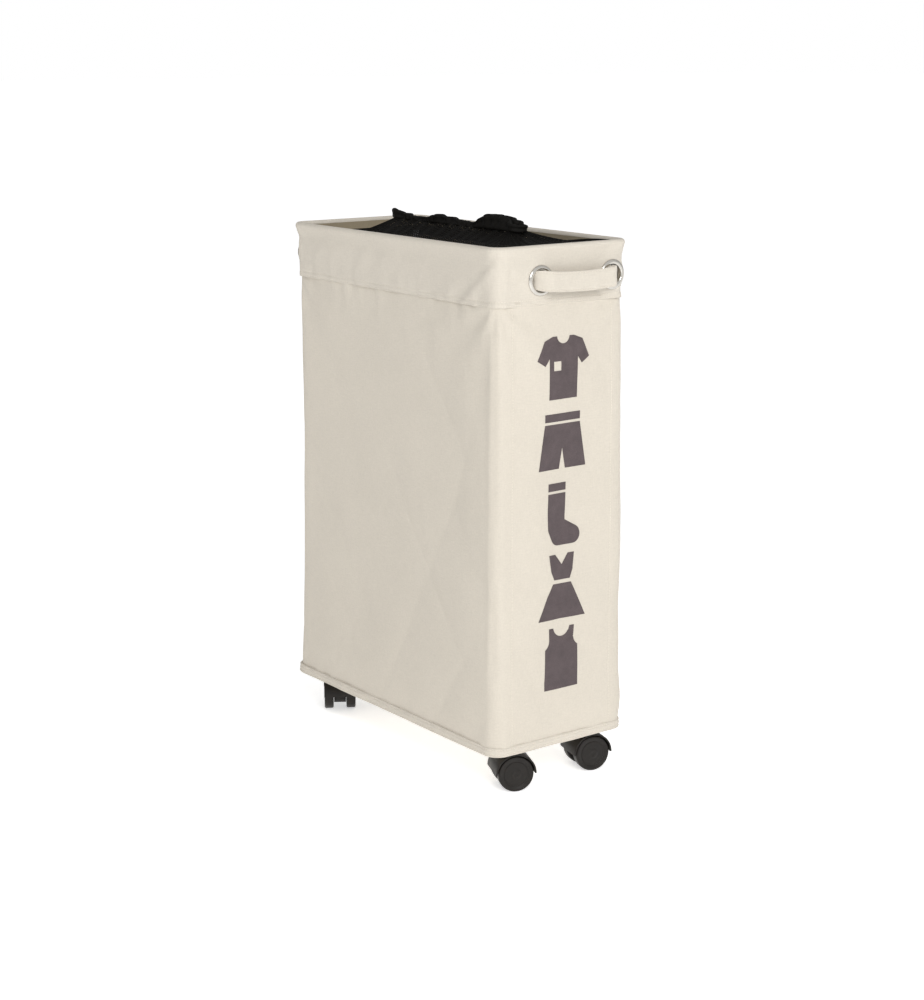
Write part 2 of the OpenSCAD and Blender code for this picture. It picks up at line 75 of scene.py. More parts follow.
CUFF_LO, CUFF_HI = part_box("cuff")
RIM_X, RIM_Y, RIM_Z = CUFF_HI.x, CUFF_HI.y, CUFF_HI.z
CUFF_Z0 = CUFF_LO.z
CORNER_R = 18 * MM
FLAT_X, FLAT_Y = RIM_X - CORNER_R, RIM_Y - CORNER_R
HOOP_LO, HOOP_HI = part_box("top_hoop")
HOOP_Z = (HOOP_LO.z + HOOP_HI.z) / 2
TUBE_R = RIM_Z - HOOP_Z
CLOTH_Z0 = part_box("floor_cloth")[0].z
HEM_Z0, HEM_Z1 = (point.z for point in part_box("hem_welt"))
EYELET_LO, EYELET_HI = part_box("right_eyelets")
EYELET_R = 16.5 * MM
EYELET_HOLE_R = 11 * MM
EYELET_Z = (EYELET_LO.z + EYELET_HI.z) / 2
EYELET_YS = (EYELET_LO.y + EYELET_R, EYELET_HI.y - EYELET_R)
WASHER_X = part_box("eyelet_washers")[1].x
HANDLE_LO, HANDLE_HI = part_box("right_handle")
HANDLE_Y = (HANDLE_LO.y + HANDLE_HI.y) / 2
LIP_LO, LIP_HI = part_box("mouth_lips")
MOUTH_X = (LIP_LO.x + LIP_HI.x) / 2
NET_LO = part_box("net_cover")[0]
ARC = 0.5 * math.pi * CORNER_R
HALF_GIRTH = 2 * FLAT_X + 2 * FLAT_Y + 2 * ARC
GIRTH = 2 * HALF_GIRTH
# Distances round the rim of the four corners' middles, from the start of the +X end
CORNER_BACK_RIGHT = 2 * FLAT_Y + ARC / 2
CORNER_BACK_LEFT = HALF_GIRTH - ARC / 2
CORNER_FRONT_LEFT = HALF_GIRTH + CORNER_BACK_RIGHT
CORNER_FRONT_RIGHT = GIRTH - ARC / 2
CORNERS_ROUND = (CORNER_BACK_RIGHT, CORNER_BACK_LEFT, CORNER_FRONT_LEFT, CORNER_FRONT_RIGHT)


# ---- settings ----

def shade(name, text, colour):
    return bpy.props.FloatVectorProperty(
        name=name, description=text, default=colour, size=3, subtype="COLOR", min=0, max=1)


def length(name, text, value, low=0.0, high=1.0):
    return bpy.props.FloatProperty(
        name=name, description=text, default=value, min=low, max=high, unit="LENGTH", precision=5)


def share(name, text, value, low=0.0, high=4.0):
    return bpy.props.FloatProperty(
        name=name, description=text, default=value, min=low, max=high, subtype="FACTOR")


class BagSettings(bpy.types.PropertyGroup):
    """Sizes of the canvas bag and its sewing"""
    slack: share("Slack", "How strongly the canvas folds and hollows", 1.0)
    canvas_t: length("Canvas thickness", "Thickness of the wall's canvas", 1.2 * MM)
    cuff_in: length("Cuff inset", "How far the cuff's band stands in from the rim", 0.9 * MM)
    stitch_pitch: length("Stitch pitch", "Distance from one stitch to the next", 3.2 * MM)
    stitch_l: length("Stitch length", "Length of one stitch", 2.3 * MM)
    thread_r: length("Thread radius", "Radius of the sewing thread", 0.28 * MM)
    strap_sag: length("Strap sag", "How far a handle's middle hangs below its ends", 2.5 * MM)


class NetSettings(bpy.types.PropertyGroup):
    """Sizes of the net top and its gathered mouth"""
    columns: bpy.props.IntProperty(
        name="Columns", description="Net cells round the net's edge", default=316, min=40, max=400)
    rows: bpy.props.IntProperty(
        name="Rows", description="Net cells from the edge to the mouth", default=23, min=4, max=40)
    hole: share("Hole size", "Size of a net hole as a share of its cell", 0.6, 0.1, 0.95)
    yarn_t: length("Yarn thickness", "Thickness of the net's yarn", 0.4 * MM)
    ripple: length("Ripple", "Height of the gathers in the net at the mouth", 1.6 * MM)
    ruffle_wave: length("Ruffle wave", "Sideways wave of the ruffle", 2.6 * MM)


class FinishSettings(bpy.types.PropertyGroup):
    """Colours of the bin's materials"""
    canvas: shade("Canvas", "Colour of the wall canvas", (0.60, 0.552, 0.475))
    trim: shade("Trim", "Colour of the cuff, hem and handles", (0.595, 0.549, 0.476))
    # The lining colour is the coated face's tone, darkened further as painted shade for the shaded
    # inside of the bag
    lining: shade("Lining", "Colour of the cuff's coated inner face", (0.33, 0.275, 0.19))
    ink: shade("Ink", "Colour of the printed garments", (0.082, 0.064, 0.066))
    thread: shade("Thread", "Colour of the sewing thread", (0.70, 0.645, 0.56))
    net: shade("Net", "Colour of the net", (0.0042, 0.0037, 0.0030))
    plastic: shade("Plastic", "Colour of the castors and feet", (0.0078, 0.0058, 0.0042))
    steel: shade("Frame steel", "Colour of the powder-coated frame", (0.40, 0.40, 0.41))
    nickel: shade("Nickel", "Colour of the plated eyelets", (0.60, 0.575, 0.53))
    board: shade("Hardboard", "Colour of the base board", (0.17, 0.095, 0.048))


class StageSettings(bpy.types.PropertyGroup):
    """Light and floor of the picture"""
    key: bpy.props.FloatProperty(
        name="Key light", description="Power of the light on the end wall", default=38.0, min=0,
        unit="POWER")
    fill: bpy.props.FloatProperty(
        name="Fill light", description="Power of the light on the long side", default=5.0, min=0,
        unit="POWER")
    sky: bpy.props.FloatProperty(
        name="Surroundings", description="Strength of the even light all round", default=0.52,
        min=0, max=4)
    lean: bpy.props.FloatProperty(
        name="Lean", description="How much stronger the light is from the end wall's side",
        default=0.36, min=0, max=2)


def bag():
    return bpy.context.scene.bin_bag


def net():
    return bpy.context.scene.bin_net


def finish():
    return bpy.context.scene.bin_finish


# ---- shape helpers ----

def smooth(edge0, edge1, value):
    """0 below edge0, 1 above edge1, and an even turn between them"""
    t = np.clip((np.asarray(value, float) - edge0) / (edge1 - edge0), 0, 1)
    return t * t * (3 - 2 * t)


def ripple_noise(s, z, cell_s, cell_z, seed):
    """Even noise from -1 to 1 that closes on itself round the bag"""
    s, z = np.broadcast_arrays(np.asarray(s, float), np.asarray(z, float))
    columns = max(4, round(GIRTH / cell_s))
    grid = np.random.RandomState(seed).uniform(-1, 1, (columns, 256))
    u, v = np.mod(s / GIRTH, 1) * columns, z / cell_z + 64
    i, j = np.floor(u).astype(int), np.floor(v).astype(int)
    fu, fv = u - i, v - j
    fu, fv = fu ** 3 * (fu * (6 * fu - 15) + 10), fv ** 3 * (fv * (6 * fv - 15) + 10)
    i0, i1, j0, j1 = i % columns, (i + 1) % columns, j % 256, (j + 1) % 256
    low = grid[i0, j0] * (1 - fu) + grid[i1, j0] * fu
    high = grid[i0, j1] * (1 - fu) + grid[i1, j1] * fu
    return 1.5 * (low * (1 - fv) + high * fv)


def crease(noise):
    """Turns even noise into soft ridges with narrow tops"""
    return 1 - 2 * np.sqrt(np.abs(noise) + 0.02)


def rim_at(s):
    """Point x, y and outward normal of the rim's outline, at distance s round it"""
    s = np.mod(np.asarray(s, float), GIRTH)
    second = s >= HALF_GIRTH
    flip = np.where(second, -1.0, 1.0)
    t = np.where(second, s - HALF_GIRTH, s)
    end, long_side = 2 * FLAT_Y, 2 * FLAT_X
    turn1 = np.clip((t - end) / CORNER_R, 0, math.pi / 2)
    turn2 = np.clip((t - end - ARC - long_side) / CORNER_R, 0, math.pi / 2)
    angle = turn1 + turn2
    nx, ny = np.cos(angle), np.sin(angle)
    x = FLAT_X - np.clip(t - end - ARC, 0, long_side) + CORNER_R * nx
    y = -FLAT_Y + np.clip(t, 0, end) + CORNER_R * ny
    return flip * x, flip * y, flip * nx, flip * ny


def round_trip(step, corner_steps):
    """Distances round the rim, evenly spaced along the sides and closer at the corners"""
    stops, start = [], 0.0
    for run, count in 2 * ((2 * FLAT_Y, 0), (ARC, corner_steps),
                           (2 * FLAT_X, 0), (ARC, corner_steps)):
        n = count or max(2, round(run / step))
        stops.append(start + run * np.arange(n) / n)
        start += run
    return np.concatenate(stops)


def at_rim(s, inset, z):
    """Points at an inset from the rim's outline and a height"""
    x, y, nx, ny = rim_at(s)
    return np.stack([x - nx * inset, y - ny * inset, np.broadcast_to(z, x.shape)], axis=-1)


def between_corners(s, *values):
    """Blends a value at each corner, in CORNERS_ROUND order, along the sides between them"""
    stops = [CORNER_FRONT_RIGHT - GIRTH, *CORNERS_ROUND, CORNER_BACK_RIGHT + GIRTH]
    weights = []
    for k in range(len(CORNERS_ROUND)):
        hat = np.zeros(len(stops))
        hat[k + 1] = 1
        hat[0], hat[-1] = hat[-2], hat[1]
        weights.append(np.interp(np.mod(s, GIRTH), stops, hat))
    return sum(w * v for w, v in zip(weights, values))


def from_table(z, table):
    """Inset at a height, from a table of (height, inset) in mm"""
    heights, insets = zip(*table)
    return np.interp(z, np.array(heights) * MM, np.array(insets) * MM)


def arc_gap(s, middle):
    """Shortest distance round the bag from s to a place"""
    return np.mod(s - middle + HALF_GIRTH, GIRTH) - HALF_GIRTH


def linked(name, data):
    """A new object in the scene"""
    obj = bpy.data.objects.new(name, data)
    bpy.context.scene.collection.objects.link(obj)
    return obj


def new_mesh(name, points, faces, material, loop_uv=None):
    """A smooth-shaded mesh object from points and faces, with a UV map in metres"""
    mesh = bpy.data.meshes.new(name)
    mesh.from_pydata(np.asarray(points, float).reshape(-1, 3).tolist(), [], faces)
    if loop_uv is not None:
        layer = mesh.uv_layers.new(name="UVMap")
        layer.data.foreach_set("uv", np.asarray(loop_uv, np.float32).ravel())
    mesh.materials.append(material)
    mesh.shade_smooth()
    mesh.update()
    return linked(name, mesh)


def ring_faces(rings, count, closed):
    """Quads between rings of points; a closed loft's last ring meets its first"""
    faces = []
    for k in range(rings if closed else rings - 1):
        below, above = k * count, (k + 1) % rings * count
        for i in range(count):
            j = (i + 1) % count
            faces.append((below + i, below + j, above + j, above + i))
    return faces


def ring_uv(along, across, total, closed):
    """UVs for ring_faces: along is the distance of each column, across that of each ring"""
    nxt = np.append(along[1:], total)
    rings = len(across)
    rows = rings if closed else rings - 1
    uv = np.zeros((rows, len(along), 4, 2))
    low = np.asarray(across, float)[:rows, None]
    high = np.asarray(across, float)[(np.arange(rows) + 1) % rings][:, None]
    uv[:, :, 0, 0] = uv[:, :, 3, 0] = along
    uv[:, :, 1, 0] = uv[:, :, 2, 0] = nxt
    uv[:, :, 0, 1] = uv[:, :, 1, 1] = low
    uv[:, :, 2, 1] = uv[:, :, 3, 1] = high
    return uv.reshape(-1, 2)


def loft_round(name, s, rings, across, material):
    """A closed shell lofted round the bag from rings of points"""
    faces = ring_faces(len(rings), len(s), True)
    return new_mesh(name, np.concatenate(rings), faces, material, ring_uv(s, across, GIRTH, True))


def run_lengths(points):
    """Distance of each point from the first, along the line through them"""
    return np.concatenate([[0], np.cumsum(np.linalg.norm(np.diff(points, axis=0), axis=1))])


def capped_loft(name, rings, material):
    """A tube lofted from rings of equal length, with both ends closed"""
    rings = np.asarray(rings, float)
    count, n = rings.shape[:2]
    faces = ring_faces(count, n, False)
    points = np.concatenate([rings.reshape(-1, 3), rings[:1].mean(1), rings[-1:].mean(1)])
    last = (count - 1) * n
    for i in range(n):
        j = (i + 1) % n
        faces.append((j, i, count * n))
        faces.append((last + i, last + j, count * n + 1))
    steps = np.linalg.norm(np.roll(rings[count // 2], -1, 0) - rings[count // 2], axis=1)
    round_it = np.concatenate([[0], np.cumsum(steps)[:-1]])
    along = run_lengths(rings.mean(1))
    uv = ring_uv(round_it, along, steps.sum(), False)[:, ::-1]
    uv = np.concatenate([uv, np.zeros((6 * n, 2))])
    return new_mesh(name, points, faces, material, uv)


def turned(name, profile, centre, axis, material, segments=72):
    """A body turned from (distance along axis, radius) points; an end on the axis is a pole"""
    axis = Vector(axis).normalized()
    side = axis.orthogonal().normalized()
    other = axis.cross(side)
    centre = Vector(centre)
    points, faces, rings = [], [], []
    for along, radius in profile:
        start = len(points)
        if radius < 1e-7:
            points.append(centre + axis * along)
            rings.append((start, 1))
            continue
        for k in range(segments):
            turn = 2 * math.pi * k / segments
            points.append(centre + axis * along
                          + (side * math.cos(turn) + other * math.sin(turn)) * radius)
        rings.append((start, segments))
    closed = profile[0][1] > 1e-7
    for k in range(len(rings) if closed else len(rings) - 1):
        (a, na), (b, nb) = rings[k], rings[(k + 1) % len(rings)]
        for i in range(segments):
            j = (i + 1) % segments
            if na == 1:
                faces.append((a, b + j, b + i))
            elif nb == 1:
                faces.append((a + i, a + j, b))
            else:
                faces.append((a + i, a + j, b + j, b + i))
    obj = new_mesh(name, [tuple(p) for p in points], faces, material)
    outwards(obj)
    obj.data.set_sharp_from_angle(angle=math.radians(40))
    return obj


def outwards(obj):
    """Turns the faces of a closed mesh to point out"""
    bm = bmesh.new()
    bm.from_mesh(obj.data)
    bmesh.ops.recalc_face_normals(bm, faces=bm.faces)
    bm.to_mesh(obj.data)
    bm.free()


def joined(name, parts):
    """Makes one object from several"""
    for part in parts:
        part.select_set(True)
    with bpy.context.temp_override(
            active_object=parts[0], object=parts[0], selected_objects=parts,
            selected_editable_objects=parts):
        bpy.ops.object.join()
    parts[0].name = parts[0].data.name = name
    parts[0].select_set(False)
    return parts[0]


def made_plain(obj):
    """Replaces an object's mesh by what its modifiers make of it, and removes them"""
    graph = bpy.context.evaluated_depsgraph_get()
    mesh = bpy.data.meshes.new_from_object(obj.evaluated_get(graph), depsgraph=graph)
    name = obj.name
    if obj.type == "MESH":
        obj.modifiers.clear()
        obj.data = mesh
        mesh.name = name
        return obj
    bpy.data.objects.remove(obj)
    mesh.name = name
    return linked(name, mesh)


def frame_copy(node, name, material, step=None, axes=()):
    """A welded copy of a CAD node's mesh, cut into a grid of a step along some axes"""
    bm = bmesh.new()
    bm.from_mesh(frame["nodes"][node].data)
    bmesh.ops.remove_doubles(bm, verts=bm.verts, dist=0.01 * MM)
    bmesh.ops.dissolve_limit(
        bm, angle_limit=math.radians(1), verts=bm.verts, edges=bm.edges)
    lo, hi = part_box(node)
    for axis in axes:
        normal = Vector([float(k == axis) for k in range(3)])
        first, last = math.ceil(lo[axis] / step), math.floor(hi[axis] / step)
        for k in range(first, last + 1):
            bmesh.ops.bisect_plane(
                bm, geom=bm.verts[:] + bm.edges[:] + bm.faces[:], dist=1e-7,
                plane_co=normal * (k * step), plane_no=normal)
    mesh = bpy.data.meshes.new(name)
    bm.to_mesh(mesh)
    bm.free()
    mesh.materials.clear()
    mesh.materials.append(material)
    return linked(name, mesh)


def settle(obj, body, slot, *nodes):
    """The piece rides on a body and stands for CAD nodes; its slot is not used"""
    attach(obj, body)
    if nodes:
        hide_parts(*nodes)


# ---- materials ----

class Nodes:
    """Short way to wire a material's nodes"""

    def __init__(self, name):
        self.material = bpy.data.materials.new(name)
        self.material.use_nodes = True
        self.tree = self.material.node_tree
        self.shader = self.tree.nodes["Principled BSDF"]

    def add(self, kind, **values):
        node = self.tree.nodes.new(kind)
        for key, value in values.items():
            setattr(node, key, value)
        return node

    def put(self, socket, value):
        if isinstance(value, bpy.types.NodeSocket):
            self.tree.links.new(value, socket)
        else:
            socket.default_value = value

    def feed(self, node, **inputs):
        """Fills a node's inputs by name, with _ for a space"""
        for key, value in inputs.items():
            self.put(node.inputs[key.replace("_", " ")], value)
        return node

    def math(self, kind, a, b=0.0, c=0.0):
        node = self.add("ShaderNodeMath", operation=kind)
        for socket, value in zip(node.inputs, (a, b, c)):
            self.put(socket, value)
        return node.outputs[0]

    def place(self, scale=(1, 1, 1), uv=False):
        """Object or UV coordinates, stretched by a scale"""
        if uv:
            source = self.add("ShaderNodeUVMap", uv_map="UVMap").outputs[0]
        else:
            source = self.add("ShaderNodeTexCoord").outputs["Object"]
        return self.feed(self.add("ShaderNodeMapping"), Vector=source, Scale=scale).outputs[0]

    def noise(self, vector, scale, detail=3.0, rough=0.55):
        node = self.feed(self.add("ShaderNodeTexNoise"), Vector=vector, Scale=scale,
                         Detail=detail, Roughness=rough)
        return node.outputs["Fac"]

    def spread(self, value, low, high):
        """Maps 0..1 to low..high"""
        return self.feed(self.add("ShaderNodeMapRange"), Value=value, To_Min=low,
                         To_Max=high).outputs[0]

    def tone(self, colour, *factors):
        """A colour times some factors, on the shader's base colour"""
        factor = factors[0]
        for other in factors[1:]:
            factor = self.math("MULTIPLY", factor, other)
        node = self.add("ShaderNodeVectorMath", operation="SCALE")
        node.inputs[0].default_value = colour
        self.put(node.inputs["Scale"], factor)
        self.put(self.shader.inputs["Base Color"], node.outputs[0])

    def bump(self, *layers):
        """Layers of (height, distance in metres)"""
        normal = None
        for height, distance in layers:
            node = self.feed(self.add("ShaderNodeBump"), Distance=distance, Strength=1.0,
                             Height=height)
            if normal is not None:
                self.put(node.inputs["Normal"], normal)
            normal = node.outputs[0]
        self.put(self.shader.inputs["Normal"], normal)

    def weave(self, pitch, uv=True):
        """Plain weave: yarns of a pitch that pass over and under each other, 0..1"""
        turn = math.pi / pitch
        split = self.add("ShaderNodeSeparateXYZ")
        self.put(split.inputs[0], self.place((turn, turn, turn), uv))
        across = self.math("SINE", split.outputs[0])
        along = self.math("SINE", split.outputs[1])
        return self.math("MULTIPLY_ADD", self.math("MULTIPLY", across, along), 0.5, 0.5)

    def rough(self, value):
        self.put(self.shader.inputs["Roughness"], value)

    def set(self, **values):
        for key, value in values.items():
            self.shader.inputs[key.replace("_", " ")].default_value = value


def canvas_material(name, colour, pitch=0.7 * MM, uv=True, dark=1.0):
    """Plain-woven canvas with uneven yarns, soft fuzz and slight stains"""
    m = Nodes(name)
    weave = m.weave(pitch, uv)
    weft = m.noise(m.place((90, 1400, 90), uv), 1.0, 2.0)
    warp = m.noise(m.place((1400, 90, 90), uv), 1.0, 2.0)
    speck = m.noise(m.place(uv=uv), 420, 3.0, 0.7)
    cloud = m.noise(m.place(), 9, 3.0)
    m.tone(tuple(dark * c for c in colour),
           m.spread(weave, 0.95, 1.04), m.spread(weft, 0.925, 1.075), m.spread(warp, 0.94, 1.06),
           m.spread(speck, 0.91, 1.09), m.spread(cloud, 0.95, 1.05))
    m.bump((m.noise(m.place(), 60, 4.0), 0.5 * MM),
           (weave, 0.16 * MM), (weft, 0.14 * MM), (warp, 0.12 * MM))
    m.rough(m.spread(speck, 0.82, 0.96))
    m.set(Sheen_Weight=0.12, Sheen_Roughness=0.45, Specular_IOR_Level=0.22)
    return m.material


def ink_material():
    """Screen print soaked into the canvas: the weave shows through, and thin spots are paler"""
    m = Nodes("printed_ink")
    weave = m.weave(0.9 * MM)
    thin = m.noise(m.place(uv=True), 55, 5.0, 0.75)
    speck = m.noise(m.place(uv=True), 900, 2.0, 0.8)
    m.tone(tuple(finish().ink), m.spread(weave, 0.9, 1.15), m.spread(thin, 0.62, 1.5),
           m.spread(speck, 0.72, 1.3))
    m.bump((weave, 0.14 * MM), (speck, 0.06 * MM))
    m.rough(m.spread(thin, 0.72, 0.9))
    m.set(Specular_IOR_Level=0.25, Sheen_Weight=0.05, Sheen_Roughness=0.5)
    return m.material


def thread_material():
    """Pale twisted sewing thread"""
    m = Nodes("sewing_thread")
    twist = m.noise(m.place(), 1600, 2.0)
    m.tone(tuple(finish().thread), m.spread(twist, 0.82, 1.15))
    m.bump((twist, 0.08 * MM))
    m.set(Roughness=0.6, Sheen_Weight=0.1, Specular_IOR_Level=0.35)
    return m.material


def net_material(name="black_net", gloss=0.5, pitch=0.6 * MM):
    """Black polyester yarn with a dull shine along the filaments"""
    m = Nodes(name)
    fibre = m.noise(m.place(), 1500, 3.0)
    lint = m.noise(m.place(), 130, 4.0, 0.7)
    rib = m.weave(pitch, False)
    m.tone(tuple(finish().net), m.spread(fibre, 0.6, 1.7), m.spread(lint, 0.75, 1.5),
           m.spread(rib, 0.8, 1.2))
    m.bump((rib, 0.12 * MM), (fibre, 0.1 * MM))
    m.rough(m.spread(fibre, gloss - 0.1, gloss + 0.2))
    m.set(Sheen_Weight=0.01, Sheen_Roughness=0.4, Specular_IOR_Level=0.1)
    return m.material


def plastic_material(name, colour, low=0.3, high=0.5, grain=700, scuff=0.5):
    """Moulded plastic: fine grain, uneven shine, faint dust and scuffs"""
    m = Nodes(name)
    fine = m.noise(m.place(), grain, 3.0, 0.6)
    cloud = m.noise(m.place(), 45, 4.0, 0.65)
    scratch = m.noise(m.place((40, 500, 260)), 1.0, 3.0, 0.7)
    m.tone(colour, m.spread(cloud, 1.0 - 0.4 * scuff, 1.0 + scuff), m.spread(fine, 0.85, 1.2))
    m.bump((fine, 0.05 * MM), (scratch, 0.03 * MM))
    m.rough(m.math("ADD", m.spread(cloud, low, high), m.spread(scratch, -0.05, 0.08)))
    m.set(Specular_IOR_Level=0.3)
    return m.material


def metal_material(name, colour, low, high, brushed=False, coated=False):
    """Plated, brushed or powder-coated metal with fine scratches"""
    m = Nodes(name)
    stretch = (900, 900, 20) if brushed else (260, 260, 260)
    scratch = m.noise(m.place(stretch), 1.0, 4.0, 0.7)
    cloud = m.noise(m.place(), 70, 3.0)
    m.tone(colour, m.spread(scratch, 0.9, 1.06), m.spread(cloud, 0.93, 1.05))
    m.bump((m.noise(m.place(), 1400 if coated else 500, 2.0),
            (0.08 if coated else 0.012) * MM))
    m.rough(m.spread(scratch, low, high))
    m.set(Metallic=0.0 if coated else 1.0)
    return m.material


def board_material():
    """Brown hardboard with pressed fibres"""
    m = Nodes("pressed_hardboard")
    fibre = m.noise(m.place((160, 420, 420)), 1.0, 6.0, 0.7)
    cloud = m.noise(m.place(), 14, 3.0)
    m.tone(tuple(finish().board), m.spread(fibre, 0.6, 1.45), m.spread(cloud, 0.85, 1.15))
    m.bump((fibre, 0.12 * MM))
    m.rough(m.spread(fibre, 0.55, 0.8))
    return m.material


def material(key):
    """Makes each material once"""
    if key in bpy.data.materials:
        return bpy.data.materials[key]
    f = finish()
    makers = {
        "wall_canvas": lambda: canvas_material(key, f.canvas),
        "trim_canvas": lambda: canvas_material(key, f.trim),
        # The lining material carries painted shade: its colour is darkened for the inside of the
        # bag
        "lining_canvas": lambda: canvas_material(key, f.lining),
        "floor_canvas": lambda: canvas_material(key, f.canvas, uv=False, dark=0.9),
        "printed_ink": ink_material,
        "sewing_thread": thread_material,
        "black_net": net_material,
        "black_tape": lambda: net_material(key, 0.62, 0.9 * MM),
        "moulded_hood": lambda: plastic_material(key, tuple(f.plastic), 0.32, 0.48),
        "moulded_wheel": lambda: plastic_material(
            key, tuple(0.9 * c for c in f.plastic), 0.3, 0.46, 520, 0.8),
        "foot_plastic": lambda: plastic_material(
            key, tuple(1.3 * c for c in f.plastic), 0.45, 0.62, 420),
        "plated_nickel": lambda: metal_material(key, tuple(f.nickel), 0.1, 0.26),
        "plated_zinc": lambda: metal_material(key, (0.62, 0.63, 0.65), 0.24, 0.42, brushed=True),
        "coated_steel": lambda: metal_material(key, tuple(f.steel), 0.42, 0.58, coated=True),
        "pressed_hardboard": board_material,
    }
    made = makers[key]()
    made.name = key
    return made


# ---- how the cloth lies: insets from the rim's outline, in metres ----

# (height, inset) in mm at each corner, in CORNERS_ROUND order
WALL_CORNERS = (
    ((50, 1.0), (74, 0.6), (150, 1.5), (190, 1.7), (225, 0.9), (262, 1.0), (422, 3.0),
     (527, 4.4), (541, 4.3)),
    ((50, 0.8), (110, 2.0), (220, 2.8), (400, 3.6), (541, 4.2)),
    ((50, 0.6), (76, 1.6), (114, 4.2), (170, 6.0), (245, 7.0), (338, 7.4), (459, 7.4),
     (519, 6.6), (541, 5.4)),
    ((50, 1.0), (74, 0.9), (120, 2.0), (200, 2.6), (400, 3.4), (541, 4.2)))
CUFF_CORNERS = (
    ((536, 1.9), (560, 1.5), (583, 1.0), (592, 0.0)),
    ((536, 1.2), (592, 0.0)),
    ((536, 3.1), (560, 2.9), (583, 1.8), (592, 0.0)),
    ((536, 1.0), (560, 0.7), (592, 0.0)))


def corner_insets(s, z, tables):
    """Insets that follow a table at each corner and blend between them"""
    return between_corners(s, *(from_table(z, table) for table in tables))


def corner_fan(s, z, corner, top, folds, phase):
    """Folds that fan out below a corner of the rim, and the distance from it"""
    ds, dz = arc_gap(s, corner), top - z
    return np.sin(folds * np.arctan2(ds, np.maximum(dz, 1e-4)) + phase), np.hypot(ds, dz)


def wall_in(s, z):
    """Inset of the canvas wall's outer face: it hollows between the posts and folds"""
    s, z = np.broadcast_arrays(np.asarray(s, float), np.asarray(z, float))
    slack = bag().slack
    base = corner_insets(s, z, WALL_CORNERS)
    free = smooth(CLOTH_Z0 + 8 * MM, CLOTH_Z0 + 45 * MM, z) * (1 - smooth(0.505, 0.538, z))
    near = np.min([np.abs(arc_gap(s, c)) for c in CORNERS_ROUND], axis=0)
    flat = smooth(12 * MM, 60 * MM, near)
    # Broad hollows between the posts, deepest at mid height
    hollow = 1.4 * MM * smooth(0.0, 0.13, near) * np.sin(
        math.pi * np.clip((z - CLOTH_Z0) / (CUFF_Z0 - CLOTH_Z0), 0, 1))
    broad = 1.5 * MM * ripple_noise(s, z, 0.14, 0.17, 3) * flat
    # Slanting folds, a different lean each way
    lean1 = 1.0 * MM * crease(ripple_noise(s + 0.75 * z, z, 0.085, 0.21, 11))
    lean2 = 0.85 * MM * crease(ripple_noise(s - 0.55 * z, z, 0.10, 0.26, 17))
    small = 0.42 * MM * ripple_noise(s + 0.3 * z, z, 0.032, 0.07, 23)
    folds = (hollow + broad + (lean1 + lean2) * (0.35 + 0.65 * flat) + small) * free
    # Pull lines that fan out from the top corners of the long sides and the ends
    for k, corner in enumerate(CORNERS_ROUND):
        fan, reach = corner_fan(s, z, corner, CUFF_Z0 + 6 * MM, 9, 1.3 * k)
        folds = folds + 1.15 * MM * fan * np.exp(-reach / 0.12) * smooth(0.006, 0.03, reach)
    # Vertical puckers along the posts
    for k, corner in enumerate(CORNERS_ROUND):
        ds = arc_gap(s, corner)
        folds = folds + 0.4 * MM * np.sin(2 * math.pi * ds / (15 * MM) + k) * np.exp(
            -(ds / 0.024) ** 2) * (0.4 + 0.6 * ripple_noise(s, z, 0.05, 0.09, 31 + k)) * free
    # Gathers under the cuff seam and above the hem
    hang = np.exp(-np.maximum(CUFF_Z0 + 2 * MM - z, 0) / 0.026)
    folds = folds + 0.85 * MM * ripple_noise(s, z, 0.0135, 0.06, 41) * hang
    rise = np.exp(-np.maximum(z - HEM_Z1, 0) / 0.02)
    folds = folds + 0.5 * MM * ripple_noise(s, z, 0.015, 0.05, 43) * rise
    # The wall bulges over the hem at the right end's far corner
    bulge = -1.6 * MM * np.exp(-(arc_gap(s, CORNER_BACK_RIGHT) / 0.05) ** 2) * np.exp(
        -((z - 0.085) / 0.022) ** 2)
    return base + slack * folds + bulge


def near_eyelets(s, z):
    """1 at an eyelet and 0 away from it"""
    pull = 0.0
    for start in (0.0, HALF_GIRTH):
        for y in EYELET_YS:
            gap = np.hypot(arc_gap(s, start + y + FLAT_Y), z - EYELET_Z)
            pull = np.maximum(pull, 1 - smooth(EYELET_R, EYELET_R + 9 * MM, gap))
    return pull


